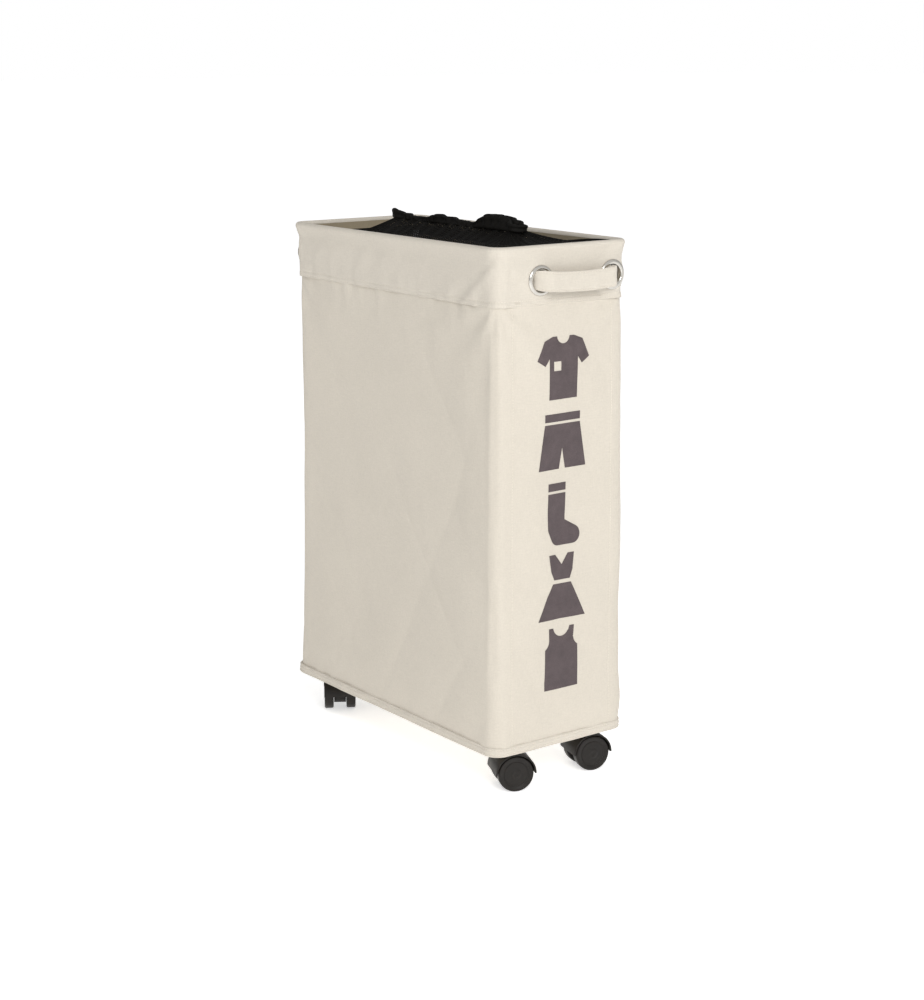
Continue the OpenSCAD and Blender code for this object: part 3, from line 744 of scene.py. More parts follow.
def cuff_in(s, z):
    """Inset of the cuff's outer face"""
    s, z = np.broadcast_arrays(np.asarray(s, float), np.asarray(z, float))
    base = bag().cuff_in + corner_insets(s, z, CUFF_CORNERS)
    seam = np.exp(-np.maximum(z - CUFF_Z0, 0) / 0.014)
    free = smooth(CUFF_Z0, CUFF_Z0 + 10 * MM, z) * (1 - smooth(RIM_Z - 20 * MM, RIM_Z - 9 * MM, z))
    waves = (0.95 * MM * ripple_noise(s + 0.8 * z, z, 0.06, 0.045, 53)
             + 0.45 * MM * ripple_noise(s - 0.7 * z, z, 0.022, 0.03, 59)) * free
    # Folds that run down from the rim's corners
    for k, corner in enumerate(CORNERS_ROUND):
        fan, reach = corner_fan(s, z, corner, RIM_Z - 6 * MM, 7, 0.9 + k)
        waves = waves + 0.8 * MM * fan * np.exp(-reach / 0.05) * smooth(0.008, 0.03, reach)
    # A long slanting fold and an upright one at the near corner
    ds = arc_gap(s, CORNER_FRONT_RIGHT)
    slant = (z - 0.584 - 0.72 * ds) / (9 * MM)
    along = smooth(-0.095, -0.05, ds) * (1 - smooth(-0.012, 0.004, ds))
    upright = (ds - 9 * MM) / (3.6 * MM)
    tall = smooth(CUFF_Z0 + 2 * MM, CUFF_Z0 + 16 * MM, z) * (1 - smooth(0.578, 0.588, z))
    waves = waves + 2.2 * MM * slant * np.exp(-slant ** 2) * along
    waves = waves - 1.5 * MM * upright * np.exp(-upright ** 2) * tall
    puckers = 0.8 * MM * ripple_noise(s, z, 0.0105, 0.08, 61) * seam
    at_tube = smooth(RIM_Z - 22 * MM, RIM_Z - 10 * MM, z)
    tube = 0.18 * MM * ripple_noise(s, z, 0.016, 0.05, 67) * at_tube
    # The band tucks in under the hoop
    tuck = 1.2 * MM * np.exp(-((z - RIM_Z + 17 * MM) / (6.5 * MM)) ** 2) * (
        0.8 + 0.4 * ripple_noise(s, 0, 0.09, 0.1, 71))
    waves = waves + tuck
    pull = near_eyelets(s, z)
    return (base + bag().slack * (waves + puckers + tube)) * (1 - pull) + 0.12 * MM * pull


def seam_dip(z, middle, width=0.9 * MM, depth=0.35 * MM):
    """The groove that a row of stitches pulls into the cloth"""
    return depth * np.exp(-((z - middle) / width) ** 2)


CUFF_SEAMS = (CUFF_Z0 + 2.4 * MM, CUFF_Z0 + 6.6 * MM)
HEM_SEAMS = (HEM_Z0 + 3.0 * MM, HEM_Z1 - 2.2 * MM)
TUNNEL_SEAM = 15 * MM
TUNNEL_SIDES = 24
STOP_RINGS, STOP_SIDES = 14, 40
LIGHT_SIZE = 0.9


# ---- pieces ----

def make_walls():
    """The bag's wall: one shell of canvas round all four sides"""
    s = round_trip(3.5 * MM, 10)
    z_out = np.concatenate([
        np.linspace(CLOTH_Z0 + 0.3 * MM, HEM_Z1 + 20 * MM, 12)[:-1],
        np.linspace(HEM_Z1 + 20 * MM, CUFF_Z0 - 40 * MM, 92)[:-1],
        np.linspace(CUFF_Z0 - 40 * MM, CUFF_Z0 + 5 * MM, 20)])
    z_in = np.linspace(CUFF_Z0 + 5 * MM, CLOTH_Z0 + 0.3 * MM, 44)
    thick = bag().canvas_t
    rings = [at_rim(s, wall_in(s, z), z) for z in z_out]
    rings += [at_rim(s, wall_in(s, z) + thick, z) for z in z_in]
    obj = loft_round("bag_walls", s, rings, np.concatenate([z_out, z_in]),
                     material("wall_canvas"))
    settle(obj, "bin", "canvas", "front_panel", "back_panel", "left_panel", "right_panel")


def make_cuff():
    """The cuff: an outer band, a tube round the hoop and a lining, sewn as one"""
    s = round_trip(*BAND_STEPS)
    rings, across = [], []

    def add(inset, z):
        rings.append(at_rim(s, inset, z))
        across.append(z)

    def outer(z, extra=0.0):
        dip = sum(seam_dip(z, seam) for seam in CUFF_SEAMS)
        return cuff_in(s, z) + dip + extra

    # Outer band, from its folded edge up
    add(outer(CUFF_Z0, 2.6 * MM), CUFF_Z0 + 0.9 * MM)
    add(outer(CUFF_Z0, 1.1 * MM), CUFF_Z0 + 0.1 * MM)
    for z in (*np.linspace(CUFF_Z0 + 0.8 * MM, CUFF_Z0 + 9 * MM, 12),
              *np.linspace(CUFF_Z0 + 11 * MM, RIM_Z - 8 * MM, 17)):
        add(outer(z), z)
    # Tube round the hoop
    for turn in np.radians(np.arange(-15, 196, 15)):
        z = HOOP_Z + TUBE_R * math.sin(turn)
        pucker = 0.15 * MM * ripple_noise(s, 0.3 * turn, 0.014, 0.2, 71)
        add(TUBE_R - (TUBE_R - pucker * (math.cos(turn) < 0.4)) * math.cos(turn), z)
    # Lining, down its inner face and up behind it
    lining = 7.2 * MM

    def wave(z):
        height = 0.45 * MM * bag().slack * float(smooth(0.54, 0.55, z) - smooth(0.575, 0.59, z))
        return height * ripple_noise(s + 0.3 * z, z, 0.04, 0.04, 73) * (1 - near_eyelets(s, z))

    first_inner = len(rings) - 2
    for z in np.linspace(RIM_Z - 9 * MM, CUFF_Z0 + 5.5 * MM, 15):
        add(lining + wave(z), z)
    last_inner = len(rings)
    add(lining - 0.7 * MM, CUFF_Z0 + 4.6 * MM)
    for z in np.linspace(CUFF_Z0 + 5.5 * MM, RIM_Z - 10 * MM, 8):
        add(lining - 1.3 * MM + wave(z), z)
    # Round the hoop on the inside, and down behind the outer band
    for turn in np.radians(np.arange(200, -31, -23)):
        add(TUBE_R - 3.2 * MM * math.cos(turn), HOOP_Z + 3.2 * MM * math.sin(turn))
    for z in np.linspace(RIM_Z - 9 * MM, CUFF_Z0 + 2 * MM, 12):
        add(cuff_in(s, z) + 1.2 * MM, z)
    obj = loft_round("cuff_band", s, rings, across, material("trim_canvas"))
    # The lining's inner faces take the lining colour, which is darkened as painted shade
    obj.data.materials.append(material("lining_canvas"))
    for face in obj.data.polygons:
        face.material_index = int(face.index // len(s) in range(first_inner, last_inner))
    # Eyelet holes through both layers
    cutters = []
    for side in (-1, 1):
        for y in EYELET_YS:
            cutter = turned(f"hole_{side}_{y:.3f}", (
                (0.02, 0), (0.02, EYELET_HOLE_R + 1.3 * MM), (-0.02, EYELET_HOLE_R + 1.3 * MM),
                (-0.02, 0)), (side * (RIM_X - 4 * MM), side * y, EYELET_Z), (1, 0, 0),
                material("trim_canvas"), 48)
            cut = obj.modifiers.new(cutter.name, "BOOLEAN")
            cut.operation, cut.solver, cut.object = "DIFFERENCE", "EXACT", cutter
            cutters.append(cutter)
    made_plain(obj)
    for cutter in cutters:
        bpy.data.objects.remove(cutter)
    settle(obj, "bin", "canvas_trim", "cuff")


def hem_out(s):
    """Inset of the hem's outer face, which stands a little proud of the wall"""
    base = between_corners(s, -0.8 * MM, -0.6 * MM, -2.0 * MM, -0.4 * MM)
    return base + bag().slack * 0.35 * MM * ripple_noise(s, 0.0, 0.03, 0.1, 83)


def hem_face(s, z):
    """Inset of the hem's outer face with its seam grooves and puckers"""
    dip = sum(seam_dip(z, seam, 0.8 * MM, 0.75 * MM) for seam in HEM_SEAMS)
    pucker = 0.4 * MM * bag().slack * ripple_noise(s, z, 0.009, 0.012, 89)
    return hem_out(s) + dip + pucker


def make_hem():
    """The welt round the bag's bottom edge: folded canvas held by two rows of stitches"""
    s = round_trip(*BAND_STEPS)
    steps = ((3.6, 0.3), (2.0, -0.1), (0.8, 0.1), (0.1, 0.8))
    rings = [at_rim(s, hem_out(s) + inset * MM, HEM_Z0 + dz * MM) for inset, dz in steps]
    across = [HEM_Z0 + dz * MM for _, dz in steps]
    for z in np.linspace(HEM_Z0 + 1.6 * MM, HEM_Z1 - 0.9 * MM, 15):
        rings.append(at_rim(s, hem_face(s, z), z))
        across.append(z)
    for inset, dz in ((0.5, -0.1), (1.3, 0.3), (2.6, 0.4)):
        rings.append(at_rim(s, hem_out(s) + inset * MM, HEM_Z1 + dz * MM))
        across.append(HEM_Z1 + dz * MM)
    for z in (HEM_Z1 - 0.4 * MM, HEM_Z0 + 1.5 * MM):
        rings.append(at_rim(s, wall_in(s, z) + 0.8 * MM, z))
        across.append(z)
    obj = loft_round("hem_band", s, rings, across, material("trim_canvas"))
    settle(obj, "bin", "canvas_trim", "hem_welt")


def make_floor_cloth():
    """The canvas under the base board, hanging slightly between its edges"""
    obj = frame_copy("floor_cloth", "floor_canvas_sheet", material("floor_canvas"), 7 * MM, (0, 1))
    # Its edges are sewn in between the walls and the hem
    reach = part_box("floor_cloth")[1]
    sewn_in = 1.4 * MM
    grow_x, grow_y = (RIM_X - sewn_in) / reach.x, (RIM_Y - sewn_in) / reach.y
    for v in obj.data.vertices:
        v.co.x, v.co.y = v.co.x * grow_x, v.co.y * grow_y
        edge = min(RIM_X - abs(v.co.x), RIM_Y - abs(v.co.y))
        sag = 0.5 + 0.5 * math.sin(70 * v.co.x + 2.1 * math.sin(55 * v.co.y))
        v.co.z -= 0.7 * MM * sag * float(smooth(6 * MM, 22 * MM, edge))
    settle(obj, "bin", "canvas", "floor_cloth")


def make_tunnels():
    """The cloth tunnels that hold the four posts, sewn into the bag's corners"""
    parts = []
    for side_x, corner in ENDS:
        for side_y, depth in ((-1, "front"), (1, "back")):
            lo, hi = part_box(f"{depth}_{corner}_post")
            slo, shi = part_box(f"{depth}_{corner}_sleeve")
            cx, cy, radius = (lo.x + hi.x) / 2, (lo.y + hi.y) / 2, (hi.x - lo.x) / 2
            turn = np.linspace(0, 2 * math.pi, TUNNEL_SIDES, endpoint=False)
            heights = np.linspace(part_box(f"{depth}_{corner}_foot")[1].z + 3 * MM,
                                  CUFF_Z0 - 1 * MM, 60)
            rings = []
            for z, gap in [(z, 1.5) for z in heights] + [(z, 0.5) for z in heights[::-1]]:
                pinch = 0.35 * MM * ripple_noise(0.012 * turn + side_x, z, 0.02, 0.04, 97 + side_y)
                r = radius + gap * MM + np.abs(pinch)
                rings.append(np.stack([cx + r * np.cos(turn), cy + r * np.sin(turn),
                                       np.full(TUNNEL_SIDES, z)], axis=-1))
            parts.append(new_mesh(
                f"tunnel_{depth}_{corner}", np.concatenate(rings),
                ring_faces(len(rings), TUNNEL_SIDES, True), material("wall_canvas"),
                ring_uv(radius * turn, np.concatenate([heights, heights[::-1]]),
                        2 * math.pi * radius, True)))
    obj = joined("post_tunnels", parts)
    settle(obj, "bin", "canvas", "front_left_sleeve", "front_right_sleeve",
           "back_left_sleeve", "back_right_sleeve")


# ---- the net and its mouth ----

def net_lift(x):
    """How much higher the net's edge is sewn towards the right end"""
    return 10.0 * MM * smooth(0.05, 0.17, x)


def net_point(s, t):
    """Point of the net: t is 0 at its edge and 1 at the mouth"""
    x, y, nx, ny = rim_at(s)
    inset = 7.6 * MM
    ex, ey = x - nx * inset, y - ny * inset
    # The mouth's loop, reached by the same distance round
    half = (LIP_HI.x - LIP_LO.x) / 2 - 9 * MM
    side = 7 * MM
    mx = MOUTH_X + np.clip(ex - MOUTH_X, -half, half)
    my = side * np.tanh(ey / (6 * MM))
    u = t ** 0.92
    px, py = ex + (mx - ex) * u, ey + (my - ey) * u
    low, high = NET_LO.z - 1.5 * MM + net_lift(x), LIP_LO.z + 0.8 * MM
    rise = low + (high - low) * (0.3 * t + 0.7 * t ** 1.9)
    gather = net().ripple * t ** 2.0 * (1 - 0.4 * t)
    waves = (np.sin(2 * math.pi * s / (19 * MM) + 2.2 * ripple_noise(s, 0.0, 0.06, 0.1, 101))
             * gather)
    sag = 2.6 * MM * np.sin(math.pi * t) * (1 + 0.5 * ripple_noise(s, t * 0.1, 0.12, 0.06, 103))
    return np.stack([px, py, rise + waves - sag], axis=-1)


def node_group(name, numbers):
    """A Geometry Nodes group that takes a mesh or curve, some numbers and a material"""
    tree = bpy.data.node_groups.new(name, "GeometryNodeTree")
    face = tree.interface
    face.new_socket("Geometry", in_out="INPUT", socket_type="NodeSocketGeometry")
    names = {}
    for label, kind in (*((number, "Float") for number in numbers), ("Material", "Material")):
        names[label] = face.new_socket(
            label, in_out="INPUT", socket_type="NodeSocket" + kind).identifier
    face.new_socket("Geometry", in_out="OUTPUT", socket_type="NodeSocketGeometry")
    return tree, names


def wire(tree, *links):
    """Joins (node, output) to (node, input) for each link"""
    for source, output, target, into in links:
        tree.links.new(source.outputs[output], target.inputs[into])


def painted(tree, source, last, output):
    """Makes a group's result real, and gives it the group's material"""
    add = tree.nodes.new
    real, paint = add("GeometryNodeRealizeInstances"), add("GeometryNodeSetMaterial")
    wire(tree, (last, output, real, "Geometry"), (real, "Geometry", paint, "Geometry"),
         (source, "Material", paint, "Material"),
         (paint, "Geometry", add("NodeGroupOutput"), "Geometry"))


def run_group(obj, tree, names, values):
    """Adds a Geometry Nodes modifier with values for its inputs, and applies it"""
    modifier = obj.modifiers.new(tree.name, "NODES")
    modifier.node_group = tree
    for label, value in values.items():
        modifier[names[label]] = value
    return made_plain(obj)


def net_tree():
    """Geometry Nodes: opens a hole in every face of a sheet, and leaves its yarns"""
    tree, names = node_group("Net Holes", ("Hole Size",))
    add = tree.nodes.new
    source, extrude = add("NodeGroupInput"), add("GeometryNodeExtrudeMesh")
    extrude.mode = "FACES"
    extrude.inputs["Individual"].default_value = True
    extrude.inputs["Offset Scale"].default_value = 0.0
    shrink, drop = add("GeometryNodeScaleElements"), add("GeometryNodeDeleteGeometry")
    shrink.domain = drop.domain = "FACE"
    wire(tree, (source, "Geometry", extrude, "Mesh"), (extrude, "Mesh", shrink, "Geometry"),
         (extrude, "Top", shrink, "Selection"), (source, "Hole Size", shrink, "Scale"),
         (shrink, "Geometry", drop, "Geometry"), (extrude, "Top", drop, "Selection"))
    painted(tree, source, drop, "Geometry")
    return tree, names


def make_net():
    """The net over the bag's top, drawn together at the mouth"""
    settings = net()
    columns, rows = settings.columns, settings.rows
    s = GIRTH * np.arange(columns) / columns
    rings = [net_point(s, t) for t in np.linspace(0, 1, rows + 1)]
    sheet = new_mesh("net_top", np.concatenate(rings), ring_faces(rows + 1, columns, False),
                     material("black_net"))
    run_group(sheet, *net_tree(),
              {"Hole Size": settings.hole, "Material": material("black_net")})
    wall = sheet.modifiers.new("Yarn", "SOLIDIFY")
    wall.thickness, wall.offset = settings.yarn_t, 0.0
    made_plain(sheet)
    settle(sheet, "bin", "net", "net_cover")
    # Tape that binds the net's edge to the cuff's lining
    s = round_trip(4 * MM, 10)
    rings, across = [], []
    for inset, dz in ((7.1, -5.5), (7.0, 0), (7.1, 4.0), (7.7, 4.7), (8.3, 4.2), (8.5, 1.5),
                      (8.3, -0.6), (8.6, -2.5), (8.4, -5.4), (7.8, -6.0)):
        wave = 0.15 * MM * ripple_noise(s, dz * MM, 0.012, 0.02, 107)
        rings.append(at_rim(s, inset * MM + wave,
                            NET_LO.z + (dz - 3.5) * MM + net_lift(rim_at(s)[0])))
        across.append(NET_LO.z + dz * MM)
    tape = loft_round("net_edge_tape", s, rings[::-1], across[::-1], material("black_tape"))
    outwards(tape)
    settle(tape, "bin", "net_binding")


# Height of the ruffle's top along X: (x in mm, front height, back height above the floor, in mm)
RUFFLE_TOP = ((-112, 609.5, 608.5), (-105, 618.4, 613.0), (-97, 616.2, 612.0),
              (-82, 613.4, 610.5), (-66, 611.6, 609.5), (-51, 610.8, 609.0), (-38, 612.8, 610.0),
              (-26, 616.2, 611.5), (-12, 617.0, 612.5), (6, 614.6, 611.5), (24, 612.8, 610.5),
              (44, 612.2, 610.5), (56, 614.5, 612.0), (66, 619.6, 616.0), (76, 622.8, 620.0),
              (86, 623.6, 622.0), (96, 623.2, 622.0), (105, 621.2, 620.5), (113, 618.0, 618.0),
              (121, 614.0, 614.0), (128, 610.5, 610.5))


def mouth_loop(d, mid, straight, side):
    """Point x, y and outward normal at distances d round the mouth's loop"""
    half_loop = 2 * straight + math.pi * side
    second = d >= half_loop
    flip = np.where(second, -1.0, 1.0)
    t = np.where(second, d - half_loop, d)
    angle = np.clip((t - 2 * straight) / side, 0, math.pi) - math.pi / 2
    nx, ny = np.cos(angle), np.sin(angle)
    x = np.clip(t, 0, 2 * straight) - straight + side * nx
    return mid + flip * x, flip * side * ny, flip * nx, flip * ny


def make_ruffle():
    """The gathered double band round the mouth, crumpled by its elastic"""
    table = np.array(RUFFLE_TOP) * MM
    x0, x1 = LIP_LO.x + 2 * MM, LIP_HI.x + 1 * MM
    half, mid = (x1 - x0) / 2, (x0 + x1) / 2
    side = 6.0 * MM
    # Loop round the slit: along the front, round the right, back along, round the left
    straight = half - side
    loop_l = 4 * straight + 2 * math.pi * side
    count = 460
    d = loop_l * np.arange(count) / count
    x, y, nx, ny = mouth_loop(d, mid, straight, side)
    tone = d / loop_l * GIRTH
    front = np.interp(x, table[:, 0], table[:, 1])
    back = np.interp(x, table[:, 0], table[:, 2])
    top = np.where(y < 0, front, back) + 0.55 * MM * ripple_noise(tone, 0, 0.03, 0.1, 109)
    foot = LIP_LO.z - 1.5 * MM
    wave = net().ruffle_wave
    phase = 2.4 * ripple_noise(tone, 0, 0.05, 0.1, 113)
    lobe = np.clip((top - 610 * MM) / (12 * MM), 0, 1.1)
    meander = 2.2 * MM * ripple_noise(tone, 0, 0.045, 0.1, 117)
    # Profile across one lip: up its outer face, over the frilled top, down the inner face
    profile = ((-0.2, 0.00, 0.0), (1.8, 0.02, 0.1), (2.8, 0.12, 0.35), (2.7, 0.26, 0.55),
               (2.3, 0.40, 0.7), (2.0, 0.52, 0.85), (2.1, 0.66, 0.95), (2.2, 0.80, 1.0),
               (1.7, 0.92, 1.0), (0.8, 0.99, 1.0), (-0.1, 1.00, 1.0), (-0.9, 0.95, 1.0),
               (-1.6, 0.82, 0.95), (-1.9, 0.66, 0.8), (-1.8, 0.50, 0.7), (-1.9, 0.34, 0.5),
               (-2.2, 0.18, 0.4), (-1.6, 0.04, 0.1))
    rings = []
    for out, up, loose in profile:
        sway = loose * wave * np.sin(2 * math.pi * tone / (34 * MM) + phase + 0.8 * up)
        fine = loose * 0.35 * MM * ripple_noise(tone, up * 0.05, 0.014, 0.02, 127)
        r = out * MM * (1 + 1.3 * lobe) + sway * (1 - 0.45 * lobe) + fine + meander * up
        z = foot + (top - foot) * up + loose * 0.3 * MM * ripple_noise(
            tone, up * 0.04, 0.014, 0.02, 131)
        rings.append(np.stack([x + nx * r, y + ny * r, z], axis=-1))
    # The left end's peak leans outwards as a small hook
    for ring in rings:
        lift = smooth(606 * MM, 616 * MM, ring[:, 2])
        near = 1 - smooth(0.0, 14 * MM, np.abs(ring[:, 0] + 105 * MM))
        ring[:, 0] -= 3.0 * MM * lift * near
    across = np.cumsum([0.0] + [2.2 * MM] * (len(rings) - 1))
    obj = new_mesh("mouth_ruffle", np.concatenate(rings),
                   ring_faces(len(rings), count, True), material("black_tape"),
                   ring_uv(d, across, loop_l, True))
    outwards(obj)
    soft = obj.modifiers.new("Soft", "SUBSURF")
    soft.levels = soft.render_levels = 1
    made_plain(obj)
    settle(obj, "bin", "net_binding", "mouth_lips", "mouth_elastic")


# ---- eyelets and handles ----

def make_eyelets():
    """Domed nickel eyelets: a rolled ring outside and a barrel through the cuff"""
    r, hole = EYELET_R / MM, EYELET_HOLE_R / MM
    inner = (WASHER_X - RIM_X) / MM - 1.6
    profile = [(inner, hole + 1.0), (inner - 0.25, hole + 0.5), (inner, hole), (0.2, hole),
               (0.9, hole + 0.15), (1.5, hole + 0.6), (1.9, hole + 1.4), (2.0, hole + 2.4),
               (1.9, hole + 3.4), (1.5, r - 1.1), (1.0, r - 0.45), (0.45, r - 0.05),
               (0.0, r), (-0.12, r - 0.5), (-0.1, hole + 1.4), (-0.5, hole + 1.0)]
    for side, body in ENDS:
        rings = []
        for y in EYELET_YS:
            rings.append(turned(
                f"eyelet_{body}_{y:.3f}", [(a * MM, b * MM) for a, b in profile],
                (side * RIM_X, side * y, EYELET_Z), (side, 0, 0), material("plated_nickel"), 96))
        obj = joined(f"{body}_eyelet_rings", rings)
        settle(obj, "bin", "eyelet_metal", f"{body}_eyelets")


# How far the strap's front and back ends lean inside their eyelets
STRAP_LEANS = (-7.5 * MM, -5.0 * MM)


def strap_path():
    """Middle line of the right handle as (x, y, z, width, thickness), from stop to stop"""
    half = (EYELET_YS[1] - EYELET_YS[0]) / 2
    reach = HANDLE_HI.x - 1.8 * MM
    bend = 9 * MM
    x_in, x_bend = WASHER_X - 3 * MM, reach - bend
    leg = [(x, -half) for x in np.linspace(x_in, x_bend, 9)]
    for turn in np.radians(np.arange(11.25, 90, 11.25)):
        leg.append((x_bend + bend * math.sin(turn), -half + bend * (1 - math.cos(turn))))
    bow_ys = np.linspace(-half + bend, half - bend, 31)
    points = leg + [(reach, y) for y in bow_ys] + [(x, -y) for x, y in leg[::-1]]
    made = []
    for x, y in points:
        # Inside the eyelets the strap leans: one end outwards, the other inwards
        inner = 1 - float(smooth(RIM_X - 2 * MM, x_bend + bend, x))
        if abs(y) >= half - bend:
            y += STRAP_LEANS[int(y >= 0)] * inner
        hang = 1 - (y / half) ** 2
        inside = 1 - smooth(RIM_X - 4 * MM, RIM_X + 7 * MM, x)
        bow = -1.0 * MM * hang ** 2 + 0.5 * MM * math.sin(95 * y + 0.6) * hang
        made.append((x + bow * (x > RIM_X + 4 * MM), HANDLE_Y + y,
                     EYELET_Z - bag().strap_sag * hang,
                     (22 - 4.2 * float(inside)) * MM, (3.0 + 0.5 * float(inside)) * MM))
    return made


# Half of the strap's section, from one edge to the other: (share of width, share of thickness)
STRAP_SECTION = ((-0.5, 0.0), (-0.493, 0.3), (-0.472, 0.47), (-0.445, 0.5), (-0.41, 0.36),
                 (-0.375, 0.5), (-0.30, 0.53), (-0.15, 0.51), (0.0, 0.5), (0.15, 0.51),
                 (0.30, 0.53), (0.375, 0.5), (0.41, 0.36), (0.445, 0.5), (0.472, 0.47),
                 (0.493, 0.3), (0.5, 0.0))
STRAP_SEAM = 0.41


def strap_frames(path):
    """Points, face normals and upward edges along a strap's path"""
    p = np.array(path)[:, :3]
    tangent = np.gradient(p, axis=0)
    tangent /= np.linalg.norm(tangent, axis=1)[:, None]
    normal = np.cross(tangent, (0, 0, 1))
    normal /= np.linalg.norm(normal, axis=1)[:, None]
    up = np.cross(normal, tangent)
    return p, normal, up


def make_strap(side, body):
    """A handle: a folded canvas strap with sewn edges, from inside one eyelet to the other"""
    path = strap_path()
    fine = []
    for a, b in zip(path[:-1], path[1:]):
        for t in (0.0, 1 / 3, 2 / 3):
            fine.append(tuple(np.array(a) * (1 - t) + np.array(b) * t))
    fine.append(path[-1])
    p, normal, up = strap_frames(fine)
    section = [*STRAP_SECTION, *((w, -t) for w, t in STRAP_SECTION[1:-1][::-1])]
    rings = []
    run = run_lengths(p)
    for k, (x, y, z, width, thick) in enumerate(fine):
        ring = []
        curl = 0.9 * MM * (1 - smooth(RIM_X - 1 * MM, RIM_X + 9 * MM, x))
        for w, t in section:
            wrinkle = 0.22 * MM * float(ripple_noise(run[k] * 3.1, w * 0.03, 0.03, 0.01, 137))
            fold = float(curl) * (1 - (2 * w) ** 2)
            ring.append(p[k] + up[k] * (w * width) + normal[k] * (t * thick + wrinkle - fold))
        rings.append(ring)
    strap = capped_loft(f"{body}_strap", rings, material("trim_canvas"))
    # Folded and sewn stops inside the bag
    parts = [strap]
    for y in (-1, 1):
        lo_y = HANDLE_Y + y * (EYELET_YS[1] - EYELET_YS[0]) / 2
        block = []
        for k in range(STOP_RINGS):
            a = math.pi * (k + 0.5) / STOP_RINGS
            grow, x = math.sin(a) ** 0.28, WASHER_X - 4.2 * MM - 3.9 * MM * math.cos(a)
            ring = []
            for j in range(STOP_SIDES):
                turn = 2 * math.pi * j / STOP_SIDES
                c, q = math.cos(turn), math.sin(turn)
                lump = 1 + 0.035 * float(ripple_noise(0.01 * j, k * 0.004, 0.05, 0.01, 139))
                ring.append((x, lo_y + 5.8 * MM * grow * lump * math.copysign(abs(c) ** 0.35, c),
                             EYELET_Z + 15.5 * MM * grow * lump * math.copysign(
                                 abs(q) ** 0.35, q)))
            block.append(ring)
        parts.append(capped_loft(f"{body}_stop_{y}", block, material("trim_canvas")))
    obj = joined(f"{body}_strap", parts)
    outwards(obj)
    if side < 0:
        for v in obj.data.vertices:
            v.co.x, v.co.y = -v.co.x, -v.co.y
    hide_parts(f"{body}_strap_ends", f"{body}_handle")
    blend_strap(obj)


def blend_strap(obj):
    """Bakes the strap's placement into its mesh"""
    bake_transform(obj)


# ---- stitches ----

def stitch_tree():
    """Geometry Nodes: lays stitches end to end along curves"""
    tree, names = node_group("Stitches", ("Stitch Pitch", "Stitch Length", "Thread Radius"))
    add = tree.nodes.new
    source, space = add("NodeGroupInput"), add("GeometryNodeResampleCurve")
    space.mode = "LENGTH"
    ball = add("GeometryNodeMeshIcoSphere")
    ball.inputs["Radius"].default_value = 1.0
    ball.inputs["Subdivisions"].default_value = 2
    size, half = add("ShaderNodeCombineXYZ"), add("ShaderNodeMath")
    half.operation = "MULTIPLY"
    half.inputs[1].default_value = 0.5
    stretch, tangent = add("GeometryNodeTransform"), add("GeometryNodeInputTangent")
    aim, place = add("FunctionNodeAlignRotationToVector"), add("GeometryNodeInstanceOnPoints")
    aim.axis = "X"
    wire(tree, (source, "Geometry", space, "Curve"), (source, "Stitch Pitch", space, "Length"),
         (source, "Stitch Length", half, 0), (half, 0, size, 0),
         (source, "Thread Radius", size, 1), (source, "Thread Radius", size, 2),
         (ball, "Mesh", stretch, "Geometry"), (size, 0, stretch, "Scale"),
         (tangent, 0, aim, "Vector"), (space, "Curve", place, "Points"),
         (stretch, "Geometry", place, "Instance"), (aim, "Rotation", place, "Rotation"))
    painted(tree, source, place, "Instances")
    tree["sockets"] = json.dumps(names)
    return tree


def sew(name, lines):
    """Rows of stitches along lines of points; each line is (points, closed)"""
    curve = bpy.data.curves.new(name, "CURVE")
    curve.dimensions = "3D"
    for points, closed in lines:
        spline = curve.splines.new("POLY")
        spline.points.add(len(points) - 1)
        flat = np.concatenate([np.asarray(points, float), np.ones((len(points), 1))], axis=1)
        spline.points.foreach_set("co", flat.ravel())
        spline.use_cyclic_u = closed
    obj = linked(name, curve)
    tree = bpy.data.node_groups.get("Stitches") or stitch_tree()
    plain = run_group(obj, tree, json.loads(tree["sockets"]), {
        "Stitch Pitch": bag().stitch_pitch, "Stitch Length": bag().stitch_l,
        "Thread Radius": bag().thread_r, "Material": material("sewing_thread")})
    plain.data.shade_smooth()
    return plain


def make_stitches():
    """The seams: two rows round the cuff, two round the hem, and one beside each post"""
    s = round_trip(*BAND_STEPS)
    lift = 0.05 * MM
    lines = []

    def wander(seed):
        return 0.22 * MM * ripple_noise(s, 0.0, 0.03, 0.1, seed)

    for k, seam in enumerate(CUFF_SEAMS):
        z = seam + wander(151 + k)
        lines.append((at_rim(s, cuff_in(s, z) + seam_dip(z, seam) - lift, z), True))
    for k, seam in enumerate(HEM_SEAMS):
        z = seam + wander(157 + k)
        lines.append((at_rim(s, hem_face(s, z) - lift, z), True))
    obj = sew("seam_stitches", lines)
    settle(obj, "bin", "canvas_trim")
    heights = np.linspace(HEM_Z1 + 1 * MM, CUFF_Z0 - 1 * MM, 240)
    posts = []
    for corner, way in zip(CORNERS_ROUND, (-1, 1, -1, 1)):
        place = corner + way * (ARC / 2 + TUNNEL_SEAM * 0.45)
        along = place + 0.25 * MM * np.sin(heights * 90)
        posts.append((at_rim(along, wall_in(along, heights) - lift, heights), False))
    obj = sew("post_stitches", posts)
    settle(obj, "bin", "canvas")


def make_strap_stitches(side, body):
    """A row of stitches along each edge of a handle"""
    path = [row for row in strap_path() if row[0] > RIM_X + 2 * MM]
    p, normal, up = strap_frames(path)
    lines = []
    for edge in (-STRAP_SEAM, STRAP_SEAM):
        for face in (-1, 1):
            line = [p[k] + up[k] * edge * path[k][3] + normal[k] * face * path[k][4] * 0.42
                    for k in range(len(path))]
            lines.append((np.array(line) * (side, side, 1), False))
    obj = sew(f"{body}_strap_stitches", lines)
    blend_strap(obj)


# ---- the print ----

